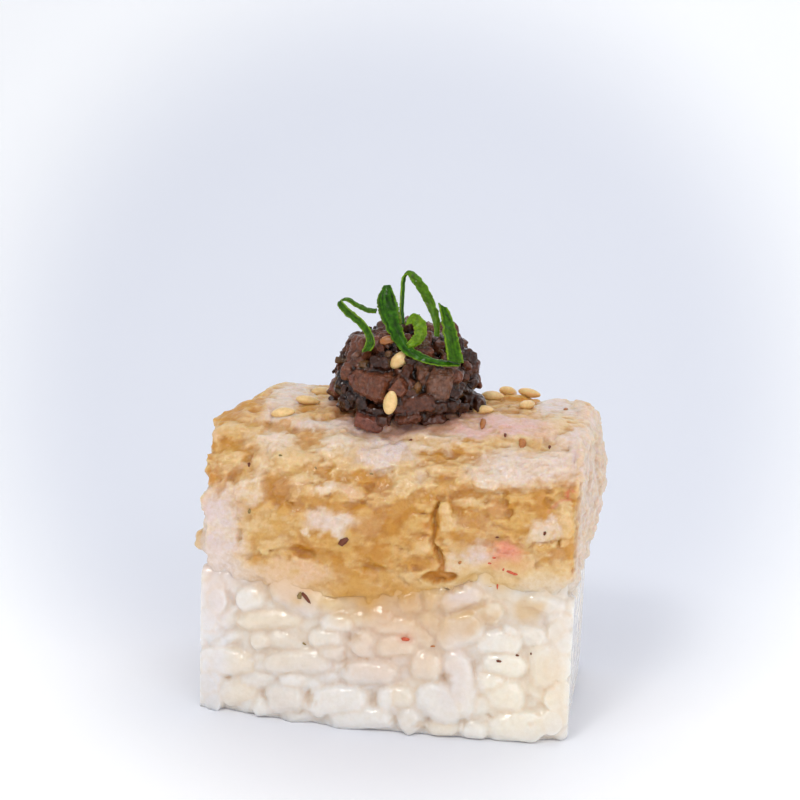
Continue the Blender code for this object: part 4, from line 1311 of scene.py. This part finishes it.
# %% Lay the mushroom chunks
MOUND_CENTRE, MOUND_REACH = Vector((-0.5, -0.5, 40.4)), Vector((9.3, 9.1, 7.8))
MOUND_BOXY = 2.5  # 2 is an ellipsoid, and more is boxier
MOUND_VOXEL, MOUND_SMOOTHING, MOUND_CORE = 0.165, 1, 0.74  # the core is a smaller mound inside
FRONT_CHUNKS = (  # across, height, width, height of the chunk, turn, tone
    (-6.2, 44.9, 2.3, 5.9, -8, "brown"), (-3.5, 41.6, 4.9, 3.4, -5, "brown"), (-7.7, 40.6, 2, 2.2, 0, "dark"),
    (-5.8, 39.7, 2.2, 2.2, 0, "ink"), (-7.1, 38.9, 1.7, 1.7, 0, "dark"), (-4.6, 39.2, 1.7, 2, 0, "ink"),
    (-2.9, 38.2, 2, 1.5, 0, "dark"), (-1.8, 37.2, 1.2, 1.2, 0, "dark"), (-3.6, 36.6, 3.4, 2, -14, "wine"),
    (2.2, 39.4, 4.8, 2.8, 10, "umber"), (1.6, 37.5, 3, 1.5, 14, "umber"), (0.8, 41.6, 3.2, 2.5, -20, "umber"),
    (0.6, 43.2, 2.1, 1.6, 0, "brown"), (5.3, 42, 3, 4.7, -12, "grey"), (3.2, 42.9, 1.7, 3.5, -5, "grey"),
    (7.2, 41, 2, 3.2, -15, "dark"), (8.2, 42.9, 1.2, 1.6, 10, "umber"), (7.5, 43.4, 1.4, 1.2, 0, "dark"),
    (8.7, 41.8, 1, 1.7, 0, "dark"), (8.6, 39.4, 1.7, 1.4, 0, "dark"), (2.8, 47.2, 1.7, 2.7, 0, "brown"),
    (3.1, 46, 2, 1.2, 0, "brown"), (4.8, 47, 1.2, 2.5, -8, "brown"), (7, 44.4, 1, 1.7, 25, "umber"),
    (-2.9, 47.1, 1.8, 3.5, -10, "brown"), (-6.5, 47, 1, 0.9, 0, "ink"), (-2.5, 44.5, 2.5, 1.9, 0, "dark"),
    (-5.3, 44, 1.7, 1, 0, "olive"), (-1.5, 45.3, 1.1, 1.2, 0, "olive"), (-9.3, 40.5, 1.1, 2.2, 0, "wine"),
    (6.2, 44.1, 1.7, 2, 0, "grey"), (4.7, 39.1, 2.7, 1.5, 8, "dark"), (6.9, 39.2, 2.2, 1.5, 15, "dark"),
    (1.4, 45.2, 1.7, 1.5, 0, "dark"), (-0.1, 39.8, 1.5, 1.2, 0, "dark"), (-6.8, 42.7, 1.2, 2, 0, "brown"),
    (6.9, 42.9, 1.5, 1.7, 0, "brown"),
)  # fmt: skip
CHUNK_RULES = ((80, 2.6, 4.6, 0.94), (90, 1.2, 2.2, 1.0), (70, 0.5, 1.0, 1.02))  # count, size from, to, how far out
FOOT_BEHIND, FOOT_IN_FRONT = 38.4, 36.8  # no chunk is laid lower by rule
GOLDEN_SHARE = 3 - math.sqrt(5)  # of a half turn, from one chunk to the next, so that they spread evenly
CHUNK_TONES = ("brown", "brown", "umber", "umber", "grey", "dark", "dark", "ink", "wine", "olive")


def on_mound(direction, share=1.0):
    total = sum(abs(part) ** MOUND_BOXY for part in direction)
    unit = direction / total ** (1 / MOUND_BOXY)
    return MOUND_CENTRE + Vector(a * b for a, b in zip(unit, MOUND_REACH)) * share


def mound_front(across, height):
    """The place on the front of the mound at a spot seen from the front."""
    x, z = (across - MOUND_CENTRE.x) / MOUND_REACH.x, (height - MOUND_CENTRE.z) / MOUND_REACH.z
    left = max(0.0, 1 - abs(x) ** MOUND_BOXY - abs(z) ** MOUND_BOXY)
    return Vector((across, MOUND_CENTRE.y - MOUND_REACH.y * left ** (1 / MOUND_BOXY), height))


def model_chunk(seed, wedge):
    chunk = start("mushroom_chunk", bpy.ops.mesh.primitive_cube_add, size=1)
    with editing(chunk):
        select_verts(chunk, lambda co: co.z > 0)
        bpy.ops.transform.resize(value=(wedge, 1 - 0.4 * wedge, 1), center_override=(0, 0, 0.5))
        bpy.ops.mesh.select_all(action="SELECT")
        bpy.ops.mesh.bevel(offset=0.14, segments=2)
        bpy.ops.transform.vertex_random(offset=0.07, uniform=0.5, seed=seed)
    return chunk


def lay_chunk(model, spot, size, turn, tilt, colour):
    out = (spot - MOUND_CENTRE).normalized()
    sunk = spot - out * size[2] * 0.4
    out = (out + Vector(tilt)).normalized()
    return lay(model, sunk, out, (1, 0, 0) if abs(out.x) < 0.9 else (0, 1, 0), turn, size, colour)


def lay_chunks(models):
    draw = random.Random(4)
    chunks = []
    for across, height, wide, high, turn, name in FRONT_CHUNKS:
        spot = mound_front(across, height) - Vector((0, 0.8 if height < 38 else 0, 0))
        tilt = [draw.uniform(-0.45, 0.45) for _ in range(3)]
        spot += (spot - MOUND_CENTRE).normalized() * draw.uniform(-0.5, 0.5)
        size = (wide * 1.22, high * 1.22, min(wide, high) * 1.15)
        chunks.append(lay_chunk(draw.choice(models), spot, size, turn, tilt, linear(name)))
    for count, low, high, share in CHUNK_RULES:
        for i in range(count):
            rise = 1 - 1.62 * (i + 0.5) / count
            around = i * math.pi * GOLDEN_SHARE + count
            ring = math.sqrt(1 - rise * rise)
            way = Vector((ring * math.cos(around), ring * math.sin(around), rise))
            spot = on_mound(way, share * draw.uniform(0.94, 1.0))
            if spot.z < (FOOT_BEHIND if spot.y > -5 else FOOT_IN_FRONT):
                continue
            if spot.y < -4 and low > 2:
                spot = MOUND_CENTRE + (spot - MOUND_CENTRE) * 0.86
            size = [draw.uniform(low, high) * stretch for stretch in (draw.uniform(1.1, 2.1), 0.8, 0.45)]
            tilt = [draw.uniform(-0.9, 0.9) for _ in range(3)]
            tone = linear(draw.choice(CHUNK_TONES)) * draw.uniform(0.7, 1.15)
            chunks.append(lay_chunk(draw.choice(models), spot, size, draw.uniform(0, 180), tilt, tone))
    return chunks


chunk_models = [model_chunk(5, 0.9), model_chunk(8, 0.55), model_chunk(11, 0.75)]
mound_lumps = lay_chunks(chunk_models)
print("mushroom chunks:", len(mound_lumps), "of", len(chunk_models[0].data.polygons), "faces")

# %% [markdown]
# ## Melt the mound
# The chunks and a plain core become one skin with small voxels, so that the gaps between the pieces stay
# open and deep. What would reach into the tempura is lifted to its surface, and noise makes the chopped
# faces fibrous.

# %% Make the mound
NO_FLOOR = -99.0  # where no layer lies below


def drop_on_layer(x, y):
    """The place where a plumb line meets the layer's skin, and the way out of it there."""
    return layer_tree.ray_cast(Vector((x, y, 80)), Vector((0, 0, -1)))[:2]


def top_at(x, y):
    spot = drop_on_layer(x, y)[0]
    return spot.z if spot else NO_FLOOR


def make_mound():
    core = start("mound_core", bpy.ops.mesh.primitive_ico_sphere_add, subdivisions=4, radius=1)
    points = read_points(core) * MM
    points = np.array([on_mound(Vector(p).normalized(), MOUND_CORE) for p in points])
    floor = np.array([top_at(p[0], p[1]) for p in points])
    points[:, 2] = np.maximum(points[:, 2], floor + 0.1)
    write_points(core, points)
    paint(core, np.tile(linear("dark"), (len(points), 1)))
    lumps, voxel = [core] + mound_lumps, MOUND_VOXEL * VOXEL_FACTOR
    mound, tones, owners = melt(lumps, "chopped_mushroom", voxel, MOUND_SMOOTHING)
    points = read_points(mound)
    crease = crease_at(mound, owners, 2)
    rough = 0.18 * noise_at(points, 1.0, 2) + 0.13 * noise_at(points, 0.42, 6) - 0.12 * crease
    points += read_normals(mound) * rough[:, None]
    low = points[:, 2] < 42
    floor = np.full(len(points), NO_FLOOR)
    floor[low] = [top_at(p[0], p[1]) for p in points[low]]
    points[:, 2] = np.maximum(points[:, 2], floor + 0.05)
    write_points(mound, points)
    return mound, tones, crease


def paint_mound():
    points = read_points(mound)
    tones = mound_tones * (1 + 0.25 * noise_at(points, 0.8, 3))[:, None]
    fine, broad = hollow_at(mound, 5), hollow_at(mound, 40)
    # Painted shade: the hollows go dark, and the creases between chunks darker. Painted highlight: ridges that
    # stand out go paler.
    tint(tones, linear("dark") * 0.25, 5.0 * np.clip(fine - 0.02, 0, 0.25) + 1.6 * np.clip(broad - 0.08, 0, 0.6))
    tint(tones, linear("grey") * 1.3, 2.5 * np.clip(-fine - 0.04, 0, 0.2))
    tint(tones, tones * 0.3, 0.6 * mound_crease_shade)
    tint(tones, linear("wine"), 0.25 * smoothstep(38.6, 36.4, points[:, 2]))
    paint(mound, tones)


mound, mound_tones, mound_crease_shade = make_mound()
paint_mound()
MOUND_MOTTLE = (0.5, (0.66, 0.58, 0.5), (1.35, 1.3, 1.25))
MOUND_BUMPS = ((0.7, 0.25, 0.8), (0.25, 0.1, 0.8))
MOUND_SURFACE = {
    "Roughness": 0.34, "Subsurface Weight": 0.15, "Subsurface Radius": (1.0, 0.4, 0.25), "Subsurface Scale": 0.0008,
    "Coat Weight": 0.7, "Coat Roughness": 0.06, "IOR": 1.38, "Specular IOR Level": 0.1,
}  # fmt: skip
simmered_mushroom = food_material("simmered mushroom", MOUND_MOTTLE, MOUND_BUMPS, MOUND_SURFACE)
finish_piece(mound, simmered_mushroom, "mushroom_mound")

# %% [markdown]
# ## Toasted sesame
# A hulled sesame seed is a flat teardrop, 3 to 3.5 mm long. One is modelled from a ball that is narrowed
# towards its tip in three steps, and each copy is flattened as it is laid. Copies lie on whatever is under
# them: a ray cast on the finished skins finds the height and the slope.

# %% Make the sesame seeds
SEEDS_ON_LAYER = (  # across, along the depth, turn, tone
    (-14.8, -7.4, 5, "seed"), (-12.9, -2.6, 10, "seed"), (-12.9, 5.9, 15, "seed"), (9.9, -3, -28, "seed"),
    (11.6, 11.8, 50, "seed"), (14.4, 11.8, 5, "seed"), (15, 2.4, 65, "seed"), (-6.8, 12.4, 20, "seed"),
    (3, 12.6, 110, "seed"), (9.8, 8.6, 15, "seed"),
)  # fmt: skip
SEEDS_ON_MOUND = (  # across, up, which side, turn, tone
    (-0.6, 39.8, -1, 80, "seed"), (0, 44.6, -1, 42, "seed"), (-1.8, 46.6, -1, 12, "toast"),
    (-4.2, 43, 1, 30, "seed"), (3.6, 44.2, 1, 120, "seed"),
)  # fmt: skip
SEED_SIZE = (3.1, 1.75, 1.25)
SEED_LIFT, SEED_LIFT_ON_MOUND = 0.25, 0.65  # how far a seed's middle lies above what carries it


def model_seed():
    ball = {"segments": 16, "ring_count": 12, "radius": 0.5, "rotation": (0, math.pi / 2, 0)}
    seed = start("seed", bpy.ops.mesh.primitive_uv_sphere_add, **ball)
    with editing(seed):
        for edge, width in ((0.05, 0.97), (0.2, 0.95), (0.33, 0.94)):
            select_verts(seed, lambda co: co.x > edge)
            bpy.ops.transform.resize(value=(1, width, width), center_override=(0, 0, 0))
    return seed


def lay_seeds(model):
    """Lays each seed on the mean slope around its middle, high enough for what lies under its ends."""
    mound_tree = skin_tree(mound)
    seeds = []
    for x, y, turn, name in SEEDS_ON_LAYER:
        spot = drop_on_layer(x, y)[0]
        slopes = [drop_on_layer(x + dx, y + dy)[1] for dx in (-1, 0, 1) for dy in (-1, 0, 1)]
        normal = sum(slopes, Vector()).normalized()
        spot.z = max(top_at(x + dx, y + dy) for dx in (-1, 0, 1) for dy in (-0.6, 0, 0.6))
        seeds.append(lay(model, spot + normal * SEED_LIFT, normal, (1, 0, 0), turn, SEED_SIZE, linear(name)))
    for x, z, side, turn, name in SEEDS_ON_MOUND:
        spot = mound_tree.ray_cast(Vector((x, side * 30, z)), Vector((0, -side, 0)))[0]
        normal = ((spot - MOUND_CENTRE).normalized() + Vector((0, side, 0))).normalized()
        size = Vector(SEED_SIZE) * (0.7 if name == "toast" else 1)
        spot += normal * SEED_LIFT_ON_MOUND
        seeds.append(lay(model, spot, normal, (-side, 0, 0), turn, size, linear(name)))
    return seeds


seed_model = model_seed()
seeds = join(lay_seeds(seed_model), "sesame_seeds")
SEED_MOTTLE = (0.7, (0.9, 0.84, 0.74), (1.06, 1.06, 1.06))
SEED_BUMPS = ((0.5, 0.08, 0.5), (0.15, 0.03, 0.4))
SEED_SURFACE = {
    "Roughness": 0.4, "Subsurface Weight": 0.25, "Subsurface Scale": 0.0006,
    "Coat Weight": 0.3, "Coat Roughness": 0.2,
}  # fmt: skip
finish_piece(seeds, food_material("toasted sesame", SEED_MOTTLE, SEED_BUMPS, SEED_SURFACE), None)

# %% [markdown]
# ## Shreds of green onion
# A green onion leaf is a thin tube. Cut across it gives rings, and cut open and shredded it gives flat
# ribbons that curl. Each ribbon follows its own line of points through the air, and at each point its width
# lies in a given direction. The strip is made along that line, hollowed a little across, and thickened.

# %% Make the shreds
SHREDS = {  # name: the points in mm, the direction of the width there, and the width
    "left": (
        ((-4.1, -9.0, 45.6), (1, 0, 0.2), 1.1), ((-3.6, -9.1, 46.9), (1, 0, -0.2), 1.1),
        ((-4.4, -8.0, 48.2), (0.7, 0, 0.7), 0.9), ((-5.8, -6.8, 49.2), (0.6, 0, 0.8), 0.9),
        ((-7.4, -5.4, 50.0), (0.6, 0.2, 0.8), 0.9), ((-8.7, -4.0, 51.0), (0.5, 0.6, 0.6), 0.8),
        ((-8.0, -2.8, 51.3), (0.1, 0.9, 0.4), 0.8), ((-6.9, -2.2, 50.6), (0.0, 0.8, 0.6), 0.8),
        ((-5.4, -2.2, 50.0), (0.0, 0.8, 0.6), 0.8), ((-4.2, -2.6, 50.0), (0.0, 0.8, 0.6), 0.7)),
    "leaf": (
        ((-2.7, -3.9, 53.4), (1, 0, 0.1), 0.8), ((-2.6, -4.6, 51.8), (1, 0, 0), 2.3),
        ((-2.0, -5.8, 50.3), (1, 0, 0.3), 2.5), ((-1.2, -7.2, 48.9), (0.9, 0, 0.4), 2.0),
        ((-0.2, -8.4, 47.4), (0.8, 0, 0.6), 1.5), ((1.0, -9.2, 46.2), (0.5, 0.3, 0.8), 1.2),
        ((2.7, -9.7, 45.4), (0.2, 0.6, 0.7), 1.1), ((4.4, -9.6, 44.9), (0.1, 0.8, 0.5), 1.1),
        ((6.0, -9.0, 44.7), (0.0, 0.8, 0.4), 1.1), ((7.3, -7.9, 44.6), (-0.2, 0.8, 0.4), 0.9)),
    "arch": (
        ((-0.2, -6.0, 48.9), (0.4, 0.9, 0), 0.8), ((-0.6, -4.8, 50.3), (0.4, 0.9, 0), 0.8),
        ((-0.8, -3.6, 52.2), (0.4, 0.9, 0), 0.8), ((-0.8, -3.2, 54.2), (0.4, 0.9, 0.2), 0.8),
        ((-0.2, -3.2, 55.1), (0.5, 0.8, 0.4), 0.9), ((0.7, -3.4, 54.4), (0.8, 0.4, 0.5), 1.1),
        ((1.9, -3.7, 53.0), (0.9, 0.2, 0.4), 1.2), ((3.0, -4.3, 51.2), (0.9, 0.2, 0.3), 1.1),
        ((3.8, -5.2, 49.6), (0.9, 0.2, 0.1), 0.9), ((4.2, -6.4, 47.6), (0.9, 0.2, 0), 0.5)),
    "right": (
        ((7.0, -9.2, 45.0), (0.9, 0.3, -0.2), 2.0), ((6.3, -7.8, 47.0), (0.9, 0.3, -0.2), 1.9),
        ((5.6, -6.2, 48.8), (0.9, 0.2, -0.3), 1.8), ((5.1, -5.2, 50.0), (0.9, 0.1, -0.4), 1.6),
        ((4.5, -4.6, 51.3), (0.9, 0, -0.4), 1.2)),
    "curl": (
        ((0.7, -8.7, 49.4), (0.2, 0.5, 0.8), 0.8), ((1.4, -8.2, 49.9), (0.1, 0.5, 0.8), 1.3),
        ((2.2, -8.2, 49.3), (0.7, 0.4, 0.5), 1.5), ((2.5, -8.6, 48.2), (0.9, 0.4, 0.1), 1.5),
        ((2.0, -9.0, 47.2), (0.8, 0.3, -0.5), 1.3), ((1.1, -9.3, 46.6), (0.5, 0.3, -0.8), 0.7)),
}  # fmt: skip
SHRED_STEPS, SHRED_ACROSS, SHRED_THICK = 10, 14, 0.2  # rows between two points, cuts across, and mm
PALE = {  # how pale each one is on its outside and on its inside
    "left": (0.05, 0.1), "leaf": (0, 0), "arch": (0, 0.15), "right": (0.05, 0.05), "curl": (0, 0.35),
}  # fmt: skip


def curve_point(points, i, t):
    """A point on the smooth curve through a line of points."""
    p0, p1, p2, p3 = (points[min(max(i + k, 0), len(points) - 1)] for k in (-1, 0, 1, 2))
    curve = 2 * p1 + t * (p2 - p0) + t * t * (2 * p0 - 5 * p1 + 4 * p2 - p3) + t**3 * (3 * p1 - p0 - 3 * p2 + p3)
    return 0.5 * curve


def noise_in(x, y, z):
    return noise.noise(Vector((x, y, z)))


def make_shred(name, line):
    places = [Vector(place) for place, _, _ in line]
    widths = [Vector(way).normalized() * width for _, way, width in line]
    rows = [(i, k / SHRED_STEPS) for i in range(len(line) - 1) for k in range(SHRED_STEPS)] + [(len(line) - 2, 1.0)]
    grid = {"x_subdivisions": SHRED_ACROSS, "y_subdivisions": len(rows) - 1, "size": 1}
    shred = start("onion_" + name, bpy.ops.mesh.primitive_grid_add, **grid)
    points = read_points(shred) * MM
    tones = np.empty((len(points), 3))
    middles = [curve_point(places, i, t) for i, t in rows]
    for n, (x, y, _) in enumerate(points):
        row = round((y + 0.5) * (len(rows) - 1))
        ahead = middles[min(row + 1, len(rows) - 1)] - middles[max(row - 1, 0)]
        across = curve_point(widths, *rows[row])
        face = across.cross(ahead).normalized()
        ragged = 1 + 0.2 * noise_in(row * 0.3, 9 * (x > 0), len(line))
        ragged += 0.16 * noise_in(row * 0.9, 5 + 9 * (x > 0), len(line))
        gutter = 0.16 * across.length * (4 * x * x - 0.5) + 0.1 * noise_in(x * 3, row * 0.3, 5)
        points[n] = middles[row] + across * x * ragged + face * gutter
        streak = 0.5 + 0.7 * noise_in(x * 14, row * 0.05, len(line)) + 0.4 * noise_in(x * 3, row * 0.3, 1)
        tones[n] = linear("leaf") * max(0.15, 0.1 + 1.5 * streak)
        tones[n] += smoothstep(0.38, 0.5, abs(x)) * 0.5 * (linear("lime") - tones[n])
    write_points(shred, points)
    apply_modifier(shred, "SOLIDIFY", thickness=SHRED_THICK * MM, offset=0, use_rim=True)
    outside, inside = (tones + share * (linear("lime") - tones) for share in PALE[name])
    paint(shred, np.concatenate([outside, inside]))
    return shred


SHRED_MOTTLE = (0.45, (0.6, 0.68, 0.55), (1.25, 1.2, 1.15))
SHRED_BUMPS = ((0.5, 0.1, 0.7), (0.18, 0.05, 0.6))
SHRED_SURFACE = {
    "Roughness": 0.42, "Subsurface Weight": 0.2, "Subsurface Radius": (0.5, 1.0, 0.2), "Subsurface Scale": 0.0005,
    "Coat Weight": 0.25, "Coat Roughness": 0.12, "IOR": 1.35, "Specular IOR Level": 0.1,
}  # fmt: skip
green = food_material("green onion", SHRED_MOTTLE, SHRED_BUMPS, SHRED_SURFACE)
for name, line in SHREDS.items():
    finish_piece(make_shred(name, line), green, "green_shred_" + name)

# %% [markdown]
# ## Specks
# A few dark bits of toasted bark and red specks of prawn shell lie on the front. They are tiny, but the eye
# finds them at once on pale rice. Each is a flattened copy of a lump that was knocked about harder.

# %% Scatter the specks
SPECKS = (  # across, up, length, width, turn, tone
    (-4.8, 23.3, 1.2, 0.9, 50, "bark"), (-9.2, 16, 1.3, 0.5, -46, "bark"), (-10, 16.2, 0.74, 0.63, 83, "khaki"),
    (3.2, 11.9, 0.8, 0.55, 9, "red"), (14.6, 10.2, 0.5, 0.36, 2, "bark"), (16.7, 10.9, 0.36, 0.28, 3, "bark"),
    (18.3, 11.1, 0.25, 0.23, -77, "bark"), (10.4, 40.1, 1.9, 0.8, -86, "toast"), (15.6, 37, 1.46, 1, -78, "toast"),
    (13.4, 38.1, 0.5, 0.36, -82, "bark"), (18.9, 37.1, 0.5, 0.36, -84, "bark"), (19.2, 26, 0.4, 0.36, -90, "bark"),
    (13.6, 25.1, 0.35, 0.26, 4, "bark"), (12.9, 22, 0.36, 0.24, 5, "red"), (13.4, 22.7, 0.35, 0.24, 3, "red"),
    (15.4, 21.1, 0.9, 0.4, -17, "red"), (16, 20.9, 0.47, 0.36, 4, "red"), (-17.5, 31.6, 0.5, 0.38, -74, "bark"),
    (-16.8, 26, 0.5, 0.39, 87, "khaki"), (2.1, 36.3, 0.37, 0.31, -4, "bark"), (13.9, 19.2, 0.72, 0.24, -87, "red"),
    (14.6, 21.4, 0.3, 0.24, 74, "red"), (-9, 31.8, 0.3, 0.24, -42, "khaki"), (-2.1, 31.6, 0.37, 0.25, 2, "khaki"),
    (-9.4, 10, 0.4, 0.26, -21, "khaki"), (-13.5, 32.8, 0.38, 0.26, -1, "khaki"),
    (6.5, 11.2, 0.49, 0.24, 6, "toast"), (9.4, 21.9, 0.37, 0.36, 52, "toast"), (19.9, 49.5, 1.2, 0.6, -90, "toast"),
)  # fmt: skip


def lay_specks(model):
    trees = (skin_tree(rice), layer_tree)
    specks = []
    for across, up, length, width, turn, name in SPECKS:
        spot, normal = front_point(across, up)
        hits = [tree.ray_cast(spot + normal * 6, -normal)[0] for tree in trees]
        spot = max([hit for hit in hits if hit] or [spot], key=normal.dot)
        size = (length, 0.8 * width, 0.3 * width + 0.1)
        specks.append(lay(model, spot, normal, (1, 0, 0), turn, size, linear(name)))
    return specks


speck_model = model_lump("speck", 0.2, 7)
specks = join(lay_specks(speck_model), "specks")
SPECK_MOTTLE, SPECK_BUMPS = (0.4, (0.8, 0.7, 0.6), (1.2, 1.2, 1.2)), ((0.3, 0.05, 0.5),)
finish_piece(specks, food_material("specks", SPECK_MOTTLE, SPECK_BUMPS, {"Roughness": 0.5}), None)

# %% [markdown]
# ## Clear away
# The lumps that were copied aren't part of the dish, so they are removed.

# %% Finish
for model in (grain_model, lump_model, seed_model, speck_model, *chunk_models):
    bpy.data.objects.remove(model)
